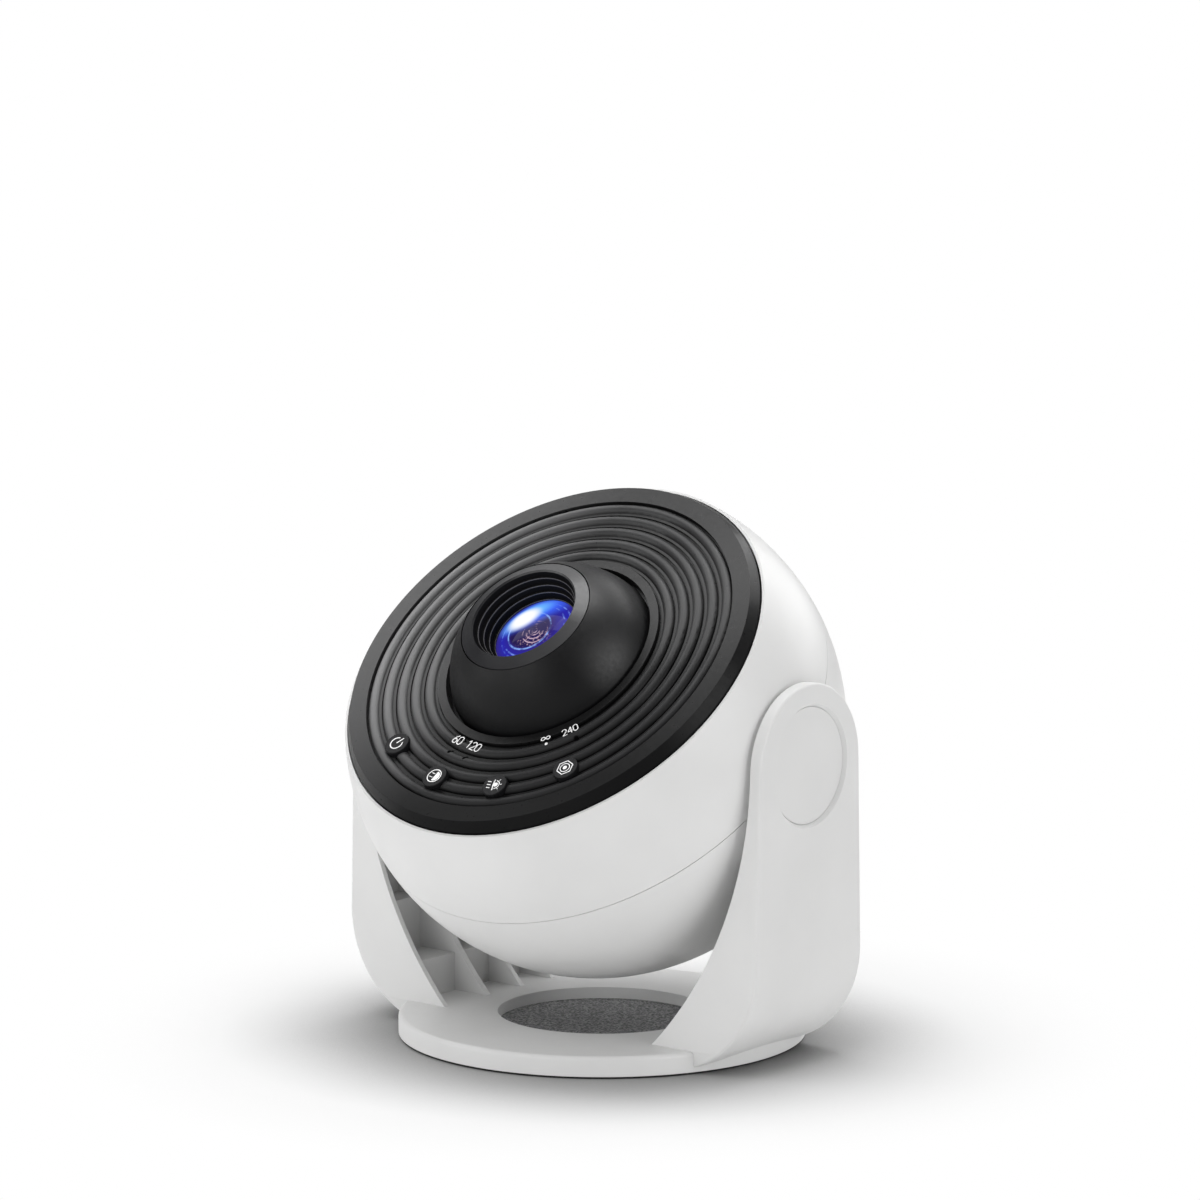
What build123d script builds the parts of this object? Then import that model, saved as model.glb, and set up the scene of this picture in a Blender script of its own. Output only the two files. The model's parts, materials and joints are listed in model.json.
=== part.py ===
from build123d import *
from math import asin, cos, pi, radians, sin, sqrt
import os

# Planetarium projector: a white ball on a two-armed stand. The ball holds a lamp, a turning
# film, a focusing lens and a ridged front disc with four buttons.
# Millimetres. X is the tilt axis, -Y is the front, Z is up, and the origin is the centre of
# the foot pad's underside. "Along the lens axis" is always counted from the tilt axis.

# ---------------------------------------------------------------- driving dimensions

# Base
base_inset = 14.4
base_height = 6.0
base_edge_round = 1.2
base_top_wall = 1.8
base_side_wall = 2.2
foot_thickness = 0.6
foot_inset = 1.1
cover_thickness = 1.0
cover_gap = 0.1
pad_hole_radius = 28.2
pad_thickness = 1.3
pad_gap = 0.1
pad_tube_wall = 1.6
ballast_post_gap = 1.3
ballast_thickness = 2.3
ballast_gap = 0.4
base_screw_inset = 3.4
base_post_radius = 2.6
base_screw_radius = 1.0
base_screw_head_radius = 1.9
base_screw_head_height = 0.6
base_screw_count = 4
base_screw_angle = 45.0

# Arms
ball_base_gap = 3.8
arm_thickness = 3.3
arm_half_width = 21.8
arm_foot_half_width = 24.0
arm_bend_radius = 30.0
arm_foot_inset = 33.9
arm_wall = 1.6
arm_skin = 2.0
arm_edge_round = 0.7
rib_places = (-4.9, 9.6)
arm_tab_length = 6.0
arm_tab_inset = 22.4
bay_drop = 24.0
low_step_inset = 22.4
low_step_height = 16.5
high_step_inset = 10.0
high_step_height = 31.0

# Pivots
recess_radius = 16.3
recess_depth = 1.0
recess_bevel = 0.7
cap_thickness = 0.8
cap_gap = 0.1
bolt_pocket_radius = 6.9
bolt_head_radius = 6.0
bolt_head_thickness = 1.2
bolt_socket_radius = 1.7
washer_radius = 6.3
washer_thickness = 0.5
bush_radius = 4.5
bolt_radius = 3.45
thread_radius = 2.0
thread_length = 6.0
arm_boss_radius = 7.3
arm_boss_length = 4.1
head_boss_wall = 2.0
head_boss_depth = 12.0
pivot_gap = 0.05

# Ball
head_radius = 67.2
head_offset = 4.0
side_flat_depth = 1.45
shell_wall = 2.2
lens_elevation = 48.5
seam_lip_width = 1.0
seam_lip_height = 1.6
seam_lip_gap = 0.15
seam_lip_root = 4.0
seam_groove_width = 0.2
seam_groove_depth = 0.6
mouth_wall = 0.69
mouth_depth = 3.1
ledge_width = 3.2
ledge_thickness = 2.0
ledge_step = 2.1
shell_screw_offset = 0.4
shell_screw_count = 4
shell_screw_angle = 0.0
vent_count = 24
vent_ring_radius = 36.0
vent_length = 11.0
vent_width = 1.8
inlet_recess_radius = 9.0
inlet_recess_depth = 1.0

# Ridged front disc
bezel_face = 35.1
bezel_gap = 0.4
bezel_flare_width = 1.7
bezel_flare_height = 2.7
bezel_plate = 3.2
bezel_skirt_wall = 2.0
bezel_border = 5.4
bezel_lip_width = 2.4
ridge_count = 5
ridge_height = 0.95
ridge_flat = 0.75
groove_width = 0.4
groove_depth = 0.5
bezel_screw_share = 0.56
bezel_screw_count = 4
bezel_screw_angle = 45.0

# Buttons and lights
button_radius = 3.5
button_share = 0.5235
button_spacing = 25.1
button_rise = 0.8
button_travel = 0.5
button_rim = 0.8
button_rim_thickness = 0.8
button_edge_round = 0.2
button_names = ("button_power", "button_contrast", "button_rays", "button_timer")
slot_share = 0.21
slot_angles = (-107.0, -98.0)
slot_length = 1.7
slot_width = 0.95
window_share = 0.15
window_angle = -46.2
window_radius = 0.7
window_depth = 0.4
board_thickness = 1.6
board_flange_gap = 2.4
board_inset = 5.6
board_lift = 1.7
switch_size = 4.5
switch_height = 1.6
plunger_radius = 1.1
plunger_gap = 0.25

# Dome-shaped focus ring
dome_radius = 28.9
dome_gap = 0.8
dome_sink = 2.1
dome_wall = 1.6
sleeve_wall = 2.0
sleeve_tail = 1.6
sleeve_drop = 6.5
sleeve_web = 2.0
flange_overlap = 1.9
flange_thickness = 1.8

# Lens barrel
barrel_rise = 15.4
barrel_tail = 3.4
focus_travel = 2.0
barrel_radius = 17.0
barrel_rim_wall = 2.3
barrel_rim_drop = 1.35
barrel_head_step = 1.45
barrel_head_depth = 3.0
barrel_seam_gap = 0.3
baffle_steps = 4
baffle_step_width = 0.72
baffle_step_height = 2.0
baffle_lip = 0.5
baffle_chamfer = 0.5
key_count = 3
key_width = 3.0
key_height = 1.3
key_slot_margin = 1.0
lens_wall = 4.4
front_lens_edge = 1.6
front_lens_rise = 2.4
lens_spacer_length = 6.0
lens_ring_wall = 1.0
rear_lens_edge = 3.0
rear_lens_rise = 1.6
lock_ring_thickness = 2.0

# Chassis
chassis_drop = 12.5
chassis_plate = 2.0
chassis_gap = 0.75
chassis_tube_wall = 2.4
key_length = 5.4
board_seat_inset = 9.4
board_seat_width = 2.0
lamp_screw_inset = 5.0
lamp_screw_count = 3
lamp_screw_angle = 90.0
lamp_post_radius = 3.2

# Film wheel and its motor
gear_module = 0.8
film_teeth = 60
pinion_teeth = 10
gear_thickness = 2.4
gear_backlash = 0.15
gear_addendum = 0.85
gear_dedendum = 1.15
gear_flank = 20.0
film_hub_step = 1.0
film_hub_length = 3.2
film_rim_width = 3.0
film_thickness = 1.0
film_floor = 1.2
film_clip_width = 1.8
film_clip_thickness = 0.8
shaft_radius = 1.0
shaft_depth = 3.0
motor_radius = 7.5
motor_length = 15.0
motor_angle = 150.0
motor_cup_wall = 1.4
motor_cup_depth = 6.0

# Lamp
lamp_flange_radius = 43.0
lamp_flange_thickness = 2.0
lamp_tube_radius = 18.2
lamp_throat_length = 11.4
lamp_foot_width = 4.8
lamp_foot_thickness = 1.6
condenser_radius = 15.0
condenser_rim_width = 1.6
condenser_rise = 4.0
condenser_edge = 2.0
condenser_drop = 6.95
condenser_clip_height = 1.2
led_board_radius = 12.0
led_board_thickness = 1.6
led_chip = 4.0
led_chip_height = 0.9
sink_inset = 0.5
sink_base = 3.0
sink_fin_count = 9
sink_fin_thickness = 1.4
sink_fin_pitch = 4.4
sink_fin_length = 16.0
sink_screw_inset = 2.4
sink_screw_count = 3
sink_screw_angle = 90.0

# Main board
main_board_gap = 10.7
main_board_radius = 24.0
board_screw_inset = 4.0
board_screw_count = 3
board_screw_angle = 30.0
board_post_radius = 2.6
inlet_width = 9.0
inlet_height = 3.3
inlet_wall = 0.3
inlet_pocket = 6.0
inlet_tongue_width = 6.7
inlet_tongue_height = 0.7

# Screws and clearances
screw_radius = 1.25
screw_head_radius = 2.2
screw_head_height = 1.3
screw_bite = 4.0
screw_post_radius = 2.6
screw_hole_gap = 0.25
run_fit = 0.08
side_gap = 0.35
part_gap = 0.02

# ---------------------------------------------------------------- derived sizes


def ball(radius, height):
    """Radius of a ball-centred sphere where a level plane cuts it."""
    return sqrt(radius**2 - (height - head_offset) ** 2)


cover_top = foot_thickness + cover_thickness
base_cavity_top = base_height - base_top_wall
pad_tube_radius = pad_hole_radius + pad_tube_wall

pivot_height = base_height + ball_base_gap + head_radius + head_offset
head_half_width = head_radius - side_flat_depth
arm_inner_reach = head_half_width + side_gap
arm_half_span = arm_inner_reach + arm_thickness
base_radius = arm_half_span - base_inset
base_cavity_radius = base_radius - base_side_wall
arm_foot_reach = arm_half_span - arm_foot_inset
arm_inner_drop = pivot_height - base_height
arm_inner_lean = arm_inner_reach - arm_foot_reach
arm_inner_radius = (arm_inner_lean**2 + arm_inner_drop**2) / (2 * arm_inner_lean)
bend_centre_reach = arm_half_span - arm_bend_radius
bay_top = pivot_height - bay_drop
low_step_reach = arm_half_span - low_step_inset
high_step_reach = arm_half_span - high_step_inset
arm_tab_reach = arm_half_span - arm_tab_inset

cap_face = arm_half_span - recess_depth
cap_seat = cap_face - cap_thickness
cap_radius = recess_radius - recess_bevel - cap_gap
bolt_head_seat = cap_seat - side_gap - bolt_head_thickness
washer_seat = bolt_head_seat - pivot_gap - washer_thickness
arm_boss_end = arm_inner_reach - arm_boss_length
head_pocket_end = arm_boss_end - side_gap
head_pocket_radius = arm_boss_radius + side_gap
head_boss_radius = head_pocket_radius + head_boss_wall
head_boss_inner = head_half_width - head_boss_depth

inner_ball = head_radius - shell_wall
mouth_level = bezel_face - mouth_depth
mouth_radius = ball(head_radius, mouth_level) - mouth_wall
ledge_level = mouth_level - ledge_step
ledge_back = ledge_level - ledge_thickness
ledge_radius = mouth_radius - ledge_width
chassis_level = bezel_face - chassis_drop
chassis_front = chassis_level + chassis_plate
chassis_radius = ball(inner_ball, chassis_front) - chassis_gap

bezel_back = bezel_face - bezel_plate
bezel_radius = mouth_radius - bezel_gap
bezel_face_radius = bezel_radius - bezel_flare_width
bezel_opening = dome_radius + dome_gap
ridge_start = bezel_opening + bezel_lip_width
ridge_pitch = (bezel_face_radius - bezel_border - ridge_start) / ridge_count
ridge_band = bezel_radius - ridge_start
button_circle = ridge_start + button_share * ridge_band
slot_circle = ridge_start + slot_share * ridge_band
window_circle = ridge_start + window_share * ridge_band
flange_radius = bezel_opening + flange_overlap
flange_front = bezel_back - side_gap
flange_back = flange_front - flange_thickness
board_inner_radius = flange_radius + board_flange_gap
board_outer_radius = bezel_radius - board_inset
board_seat_radius = board_outer_radius - board_seat_inset
board_level = chassis_front + board_lift
board_front = board_level + board_thickness

barrel_front = bezel_face + barrel_rise
barrel_rim_radius = barrel_radius - barrel_rim_wall
barrel_head_radius = barrel_radius + barrel_head_step
sleeve_front = barrel_front - sleeve_drop
sleeve_back = chassis_level - sleeve_tail
sleeve_radius = barrel_radius + run_fit
sleeve_outer = sleeve_radius + sleeve_wall
barrel_back = sleeve_back - barrel_tail
web_back = sleeve_front - sleeve_web
dome_base_level = bezel_face - dome_sink
dome_hole = barrel_head_radius + barrel_seam_gap
dome_top = barrel_front - barrel_rim_drop
dome_rise = dome_top - dome_base_level
dome_centre_drop = (dome_radius**2 - dome_hole**2 - dome_rise**2) / (2 * dome_rise)
dome_centre = dome_base_level - dome_centre_drop
dome_ball = sqrt(dome_radius**2 + dome_centre_drop**2)

baffle_floor = barrel_front - baffle_steps * baffle_step_height
lens_mouth = barrel_rim_radius - baffle_steps * baffle_step_width
lens_seat = baffle_floor - baffle_lip
lens_radius = barrel_radius - lens_wall
lens_bore = lens_radius + part_gap
spacer_front = lens_seat - front_lens_edge
rear_lens_front = spacer_front - lens_spacer_length
lock_ring_front = rear_lens_front - rear_lens_edge

chassis_bore = sleeve_outer + run_fit
chassis_tube_outer = chassis_bore + chassis_tube_wall
chassis_tube_front = web_back - side_gap
key_zone_front = sleeve_back - side_gap
key_zone_back = key_zone_front - key_length
key_bore = barrel_radius + side_gap
key_tip = key_bore - key_height

film_hub_radius = barrel_radius + film_hub_step
film_radius = film_hub_radius - film_rim_width
film_window = film_radius - film_clip_width
film_wheel_front = key_zone_back - side_gap
film_gear_front = film_wheel_front - film_hub_length
film_gear_back = film_gear_front - gear_thickness
film_seat = film_gear_back + film_floor
film_front = film_seat + film_thickness
chassis_tube_back = film_gear_front + side_gap
gear_spread = (film_teeth + pinion_teeth) * gear_module / 2 + gear_backlash
lamp_front = film_gear_back - side_gap
lamp_flange_back = lamp_front - lamp_flange_thickness
lamp_foot_radius = lamp_tube_radius + lamp_foot_width
condenser_level = lamp_front - condenser_drop
condenser_dome = condenser_radius - condenser_rim_width
condenser_top = condenser_level + condenser_edge
lamp_back = condenser_level - lamp_throat_length
sink_radius = lamp_foot_radius - sink_inset
sink_front = lamp_back - lamp_foot_thickness
sink_back = sink_front - sink_base

ball_back = head_offset - head_radius
inlet_mouth = ball_back + inlet_recess_depth
main_board_level = ball_back + main_board_gap
board_screw_circle = main_board_radius - board_screw_inset
board_post_end = head_offset - sqrt((head_radius - shell_wall / 2) ** 2 - board_screw_circle**2)

base_screw_circle = base_cavity_radius - base_screw_inset
ballast_outer_radius = base_screw_circle - base_post_radius - ballast_post_gap
base_screw_ring = (base_screw_circle, base_screw_count, base_screw_angle)
shell_screw_ring = (ledge_radius + shell_screw_offset, shell_screw_count, shell_screw_angle)
bezel_screw_circle = button_circle + bezel_screw_share * (ledge_radius - button_circle)
bezel_screw_ring = (bezel_screw_circle, bezel_screw_count, bezel_screw_angle)
lamp_screw_ring = (lamp_flange_radius - lamp_screw_inset, lamp_screw_count, lamp_screw_angle)
sink_screw_ring = (lamp_foot_radius - sink_screw_inset, sink_screw_count, sink_screw_angle)
board_screw_ring = (board_screw_circle, board_screw_count, board_screw_angle)
base_screw_hole = base_screw_radius + part_gap
screw_hole = screw_radius + part_gap
screw_clear_hole = screw_radius + screw_hole_gap

# ---------------------------------------------------------------- frames

tilt_centre = Vector(0, 0, pivot_height)
lens_dir = Vector(0, -cos(radians(lens_elevation)), sin(radians(lens_elevation)))
head_side = Plane(origin=tilt_centre, x_dir=(1, 0, 0), z_dir=Vector(1, 0, 0).cross(lens_dir))
lens_axis = Axis(tilt_centre, lens_dir)
tilt_side = Plane(origin=tilt_centre, x_dir=(1, 0, 0), z_dir=(0, -1, 0))
tilt_axis = Axis(tilt_centre, (1, 0, 0))


def level(height):
    """Plane square to the lens axis, this far along it."""
    return Plane(origin=tilt_centre + lens_dir * height, x_dir=(1, 0, 0), z_dir=lens_dir)


def sideways(side, reach):
    """Plane square to the tilt axis, this far out on the right (1) or left (-1), facing out."""
    return Plane(origin=(side * reach, 0, pivot_height), x_dir=(0, side, 0), z_dir=(side, 0, 0))


def turned(outline, plane=head_side, axis=lens_axis, mode=Mode.ADD):
    """Revolve a closed outline of radius and height."""
    with BuildSketch(plane) as section:
        with BuildLine():
            Polyline(*outline, close=True)
        make_face()
    revolve(section.sketch, axis=axis, mode=mode)


def ring(inner, outer, low, high):
    """Outline of a plain ring."""
    return [(inner, low), (outer, low), (outer, high), (inner, high)]


def rod(plane, radius, length, mode=Mode.ADD):
    """Round rod from a plane along its normal."""
    with BuildSketch(plane) as section:
        Circle(radius)
    extrude(section.sketch, amount=length, mode=mode)


def rods(plane, pattern, radius, length, mode=Mode.ADD):
    """Equal rods from a plane along its normal; the pattern is circle, count and first angle."""
    circle, count, start = pattern
    with BuildSketch(plane) as section:
        with PolarLocations(circle, count, start_angle=start):
            Circle(radius)
    extrude(section.sketch, amount=length, mode=mode)


def screws(seat, pattern, length):
    """Pan-head screws: shanks run this far along the lens axis from the seat, heads lie behind it."""
    head_height = -screw_head_height if length > 0 else screw_head_height
    rods(level(seat), pattern, screw_head_radius, head_height)
    rods(level(seat), pattern, screw_radius, length)


# ---------------------------------------------------------------- stand

pieces = {}


def arm_front_view(half_width, foot_half_width, reach):
    """The arm's shape seen from the side: round top, sides that widen to the foot."""
    distance = sqrt(foot_half_width**2 + pivot_height**2)
    tangent = asin(pivot_height / distance) - asin(sqrt(1 - (half_width / distance) ** 2))
    touch_y = half_width * cos(tangent)
    touch_z = pivot_height - half_width * sin(tangent)
    with BuildSketch(Plane.YZ) as view:
        with BuildLine():
            Line((-foot_half_width, 0), (foot_half_width, 0))
            Line((foot_half_width, 0), (touch_y, touch_z))
            ThreePointArc((touch_y, touch_z), (0, pivot_height + half_width), (-touch_y, touch_z))
            Line((-touch_y, touch_z), (-foot_half_width, 0))
        make_face()
    extrude(view.sketch, amount=reach, mode=Mode.INTERSECT)


with BuildPart() as arm_bays:
    with BuildSketch(Plane.XZ):
        with BuildLine():
            Polyline(
                (0, base_height),
                (low_step_reach, base_height),
                (low_step_reach, low_step_height),
                (high_step_reach, low_step_height),
                (high_step_reach, high_step_height),
                (arm_half_span - arm_skin, high_step_height),
                (arm_half_span - arm_skin, bay_top),
                (0, bay_top),
                close=True,
            )
        make_face()
    extrude(amount=arm_foot_half_width, both=True)
    arm_front_view(arm_half_width - arm_wall, arm_foot_half_width - arm_wall, arm_half_span)
    with BuildSketch(Plane.XY):
        for rib in rib_places:
            with Locations((arm_half_span / 2, rib)):
                Rectangle(arm_half_span, arm_wall)
    extrude(amount=pivot_height, mode=Mode.SUBTRACT)

with BuildPart() as arm_form:
    # Side profile: bent outer skin, long concave inner edge.
    foot_angle = asin(arm_inner_drop / arm_inner_radius)
    inner_centre = arm_inner_reach - arm_inner_radius
    half_foot_angle = foot_angle / 2
    inner_middle = (
        inner_centre + arm_inner_radius * cos(half_foot_angle),
        pivot_height - arm_inner_radius * sin(half_foot_angle),
    )
    bend_middle = (
        bend_centre_reach + arm_bend_radius * cos(pi / 4),
        arm_bend_radius - arm_bend_radius * sin(pi / 4),
    )
    arm_top = pivot_height + arm_half_width
    with BuildSketch(Plane.XZ):
        with BuildLine():
            ThreePointArc((arm_foot_reach, base_height), inner_middle, (arm_inner_reach, pivot_height))
            Polyline(
                (arm_inner_reach, pivot_height),
                (arm_inner_reach, arm_top),
                (arm_half_span, arm_top),
                (arm_half_span, arm_bend_radius),
            )
            ThreePointArc((arm_half_span, arm_bend_radius), bend_middle, (bend_centre_reach, 0))
            Polyline((bend_centre_reach, 0), (arm_foot_reach, 0), (arm_foot_reach, base_height))
        make_face()
    extrude(amount=arm_foot_half_width, both=True)
    arm_front_view(arm_half_width, arm_foot_half_width, arm_half_span)
    outer_face = arm_form.faces().sort_by(Axis.X)[-1]
    bend_face = arm_form.faces().filter_by(GeomType.CYLINDER).sort_by(Axis.Z)[0]
    shared = [edge for edge in outer_face.edges() if edge.geom_type == GeomType.LINE]
    shared_bend = sorted(shared, key=lambda edge: abs(edge.center().Z - arm_bend_radius))[0]
    bend_sides = bend_face.edges().filter_by(GeomType.CIRCLE)
    skin_edges = [edge for edge in outer_face.edges() if edge.center() != shared_bend.center()]
    fillet(skin_edges + list(bend_sides), arm_edge_round)
    add(arm_bays.part, mode=Mode.SUBTRACT)
    # Room for the ball to turn past the ribs.
    swell = head_offset + 2 * side_gap
    sweep_start = bend_centre_reach / 2
    sweep_length = arm_inner_reach - sweep_start
    with BuildSketch(tilt_side):
        with Locations((0, swell)):
            Circle(head_radius)
        Rectangle(arm_inner_reach, swell, align=(Align.MIN, Align.MIN))
        with Locations((sweep_start, 0)):
            Rectangle(sweep_length, swell + head_radius, align=(Align.MIN, Align.MIN), mode=Mode.INTERSECT)
    revolve(axis=tilt_axis, mode=Mode.SUBTRACT)
    # Pivot boss, bush bore, washer and bolt pocket, and the capped recess.
    turned(
        [(arm_boss_end, 0), (cap_seat, 0), (cap_seat, arm_boss_radius), (arm_boss_end, arm_boss_radius)],
        tilt_side,
        tilt_axis,
    )
    bush_bore = bush_radius + part_gap
    turned(
        [
            (arm_boss_end, 0),
            (arm_half_span, 0),
            (arm_half_span, recess_radius),
            (cap_face, recess_radius - recess_bevel),
            (cap_seat, recess_radius - recess_bevel),
            (cap_seat, bolt_pocket_radius),
            (washer_seat, bolt_pocket_radius),
            (washer_seat, bush_bore),
            (arm_boss_end, bush_bore),
        ],
        tilt_side,
        tilt_axis,
        Mode.SUBTRACT,
    )

# Each arm stands on the base's top face, with a tab under each rib. Its toe is part of the base.
arm_seat = Plane.XY.offset(base_height)


def arm_tabs(clearance, mode=Mode.ADD):
    """The tabs under the right arm's ribs, grown by a clearance for their slots."""
    with BuildSketch(arm_seat) as section:
        for rib in rib_places:
            with Locations((arm_tab_reach, rib)):
                Rectangle(arm_tab_length + 2 * clearance, arm_wall + 2 * clearance)
    extrude(section.sketch, amount=-base_top_wall, mode=mode)


with BuildPart() as right_arm:
    add(arm_form.part)
    split(bisect_by=arm_seat, keep=Keep.TOP)
    arm_tabs(0)
pieces["right_arm"] = right_arm

with BuildPart() as left_arm:
    mirror(right_arm.part, about=Plane.YZ)
pieces["left_arm"] = left_arm

with BuildPart() as arm_toe:
    add(arm_form.part)
    split(bisect_by=arm_seat, keep=Keep.BOTTOM)

with BuildPart() as tab_slots:
    arm_tabs(part_gap)

with BuildPart() as stand_base:
    turned(ring(pad_hole_radius, base_radius, foot_thickness, base_height), Plane.XZ, Axis.Z)
    rim_edges = stand_base.edges().filter_by(GeomType.CIRCLE).sort_by(SortBy.RADIUS)[-2:]
    fillet(rim_edges.sort_by(Axis.Z)[-1], base_edge_round)
    add(arm_toe.part)
    mirror(arm_toe.part, about=Plane.YZ)
    # Hollow underside, closed by the cover.
    cavity = [
        (pad_tube_radius, -base_height),
        (base_cavity_radius, -base_height),
        (base_cavity_radius, base_cavity_top),
        (pad_tube_radius, base_cavity_top),
    ]
    turned(cavity, Plane.XZ, Axis.Z, Mode.SUBTRACT)
    turned(ring(0, base_cavity_radius, 0, cover_top), Plane.XZ, Axis.Z, Mode.SUBTRACT)
    post_plane = Plane.XY.offset(cover_top)
    post_height = base_cavity_top - cover_top
    rods(post_plane, base_screw_ring, base_post_radius, post_height)
    rods(post_plane, base_screw_ring, base_screw_hole, post_height, Mode.SUBTRACT)
    add(tab_slots.part, mode=Mode.SUBTRACT)
    mirror(tab_slots.part, about=Plane.YZ, mode=Mode.SUBTRACT)
pieces["stand_base"] = stand_base

with BuildPart() as base_cover:
    turned(ring(0, base_cavity_radius - cover_gap, foot_thickness, cover_top), Plane.XZ, Axis.Z)
    head_seat = Plane.XY.offset(foot_thickness)
    rods(head_seat, base_screw_ring, base_screw_hole, cover_thickness, Mode.SUBTRACT)
    rods(head_seat, base_screw_ring, base_screw_head_radius + part_gap, base_screw_head_height, Mode.SUBTRACT)
pieces["base_cover"] = base_cover

with BuildPart() as base_screws:
    rods(head_seat, base_screw_ring, base_screw_head_radius, base_screw_head_height)
    rods(head_seat, base_screw_ring, base_screw_radius, base_cavity_top - foot_thickness - part_gap)
pieces["base_screws"] = base_screws

with BuildPart() as ballast_ring:
    ballast_inner = pad_tube_radius + ballast_gap
    ballast_top = cover_top + ballast_thickness
    turned(ring(ballast_inner, ballast_outer_radius, cover_top, ballast_top), Plane.XZ, Axis.Z)
pieces["ballast_ring"] = ballast_ring

with BuildPart() as centre_pad:
    pad_top = cover_top + pad_thickness
    turned(ring(0, pad_hole_radius - pad_gap, cover_top, pad_top), Plane.XZ, Axis.Z)
pieces["centre_pad"] = centre_pad

with BuildPart() as foot_pad:
    turned(ring(0, base_radius - foot_inset, 0, foot_thickness), Plane.XZ, Axis.Z)
pieces["foot_pad"] = foot_pad

# ---------------------------------------------------------------- pivots

with BuildPart() as right_bush:
    bush_inner = bolt_radius + pivot_gap
    turned(
        [
            (arm_boss_end, bush_inner),
            (washer_seat, bush_inner),
            (washer_seat, bush_radius),
            (arm_boss_end, bush_radius),
        ],
        tilt_side,
        tilt_axis,
    )

with BuildPart() as right_washer:
    turned(
        [
            (washer_seat, bush_inner),
            (washer_seat + washer_thickness, bush_inner),
            (washer_seat + washer_thickness, washer_radius),
            (washer_seat, washer_radius),
        ],
        tilt_side,
        tilt_axis,
    )

with BuildPart() as right_cap:
    turned(
        [(cap_seat, 0), (cap_face, 0), (cap_face, cap_radius), (cap_seat, cap_radius)],
        tilt_side,
        tilt_axis,
    )

with BuildPart() as right_bolt:
    bolt_head_top = bolt_head_seat + bolt_head_thickness
    turned(
        [
            (head_pocket_end - thread_length, 0),
            (bolt_head_top, 0),
            (bolt_head_top, bolt_head_radius),
            (bolt_head_seat, bolt_head_radius),
            (bolt_head_seat, bolt_radius),
            (head_pocket_end, bolt_radius),
            (head_pocket_end, thread_radius),
            (head_pocket_end - thread_length, thread_radius),
        ],
        tilt_side,
        tilt_axis,
    )
    with BuildSketch(sideways(1, bolt_head_top)):
        RegularPolygon(bolt_socket_radius, 6)
    extrude(amount=-bolt_head_thickness, mode=Mode.SUBTRACT)

pivot_set = {"bush": right_bush, "washer": right_washer, "cap": right_cap, "bolt": right_bolt}
for name, right_piece in pivot_set.items():
    with BuildPart() as left_piece:
        mirror(right_piece.part, about=Plane.YZ)
    pieces[f"right_pivot_{name}"] = right_piece
    pieces[f"left_pivot_{name}"] = left_piece

# ---------------------------------------------------------------- ball shells


def cut_sides(boss_room):
    """Flat sides beside the arms, with room for a pivot boss if asked."""
    for side in (1, -1):
        flat = sideways(side, head_half_width)
        rod(flat, head_radius, head_radius, Mode.SUBTRACT)
        if boss_room:
            rod(flat, boss_room, -head_boss_depth - side_gap, Mode.SUBTRACT)


with BuildPart() as front_shell:
    seam = head_offset
    mid_level = (seam + mouth_level) / 2
    with BuildSketch(head_side):
        with BuildLine():
            ThreePointArc(
                (head_radius, seam),
                (ball(head_radius, mid_level), mid_level),
                (ball(head_radius, mouth_level), mouth_level),
            )
            Polyline(
                (ball(head_radius, mouth_level), mouth_level),
                (mouth_radius, mouth_level),
                (mouth_radius, ledge_level),
                (ledge_radius, ledge_level),
                (ledge_radius, ledge_back),
                (ball(inner_ball, ledge_back), ledge_back),
            )
            ThreePointArc(
                (ball(inner_ball, ledge_back), ledge_back),
                (ball(inner_ball, mid_level), mid_level),
                (inner_ball, seam),
            )
            Line((inner_ball, seam), (head_radius, seam))
        make_face()
    revolve(axis=lens_axis)
    cut_sides(head_boss_radius + side_gap)
    # Posts that the chassis hangs from.
    post_length = ledge_back - chassis_front
    rods(level(chassis_front), shell_screw_ring, screw_post_radius, post_length)
    rods(level(chassis_front), shell_screw_ring, screw_hole, post_length, Mode.SUBTRACT)
pieces["front_shell"] = front_shell

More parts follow.
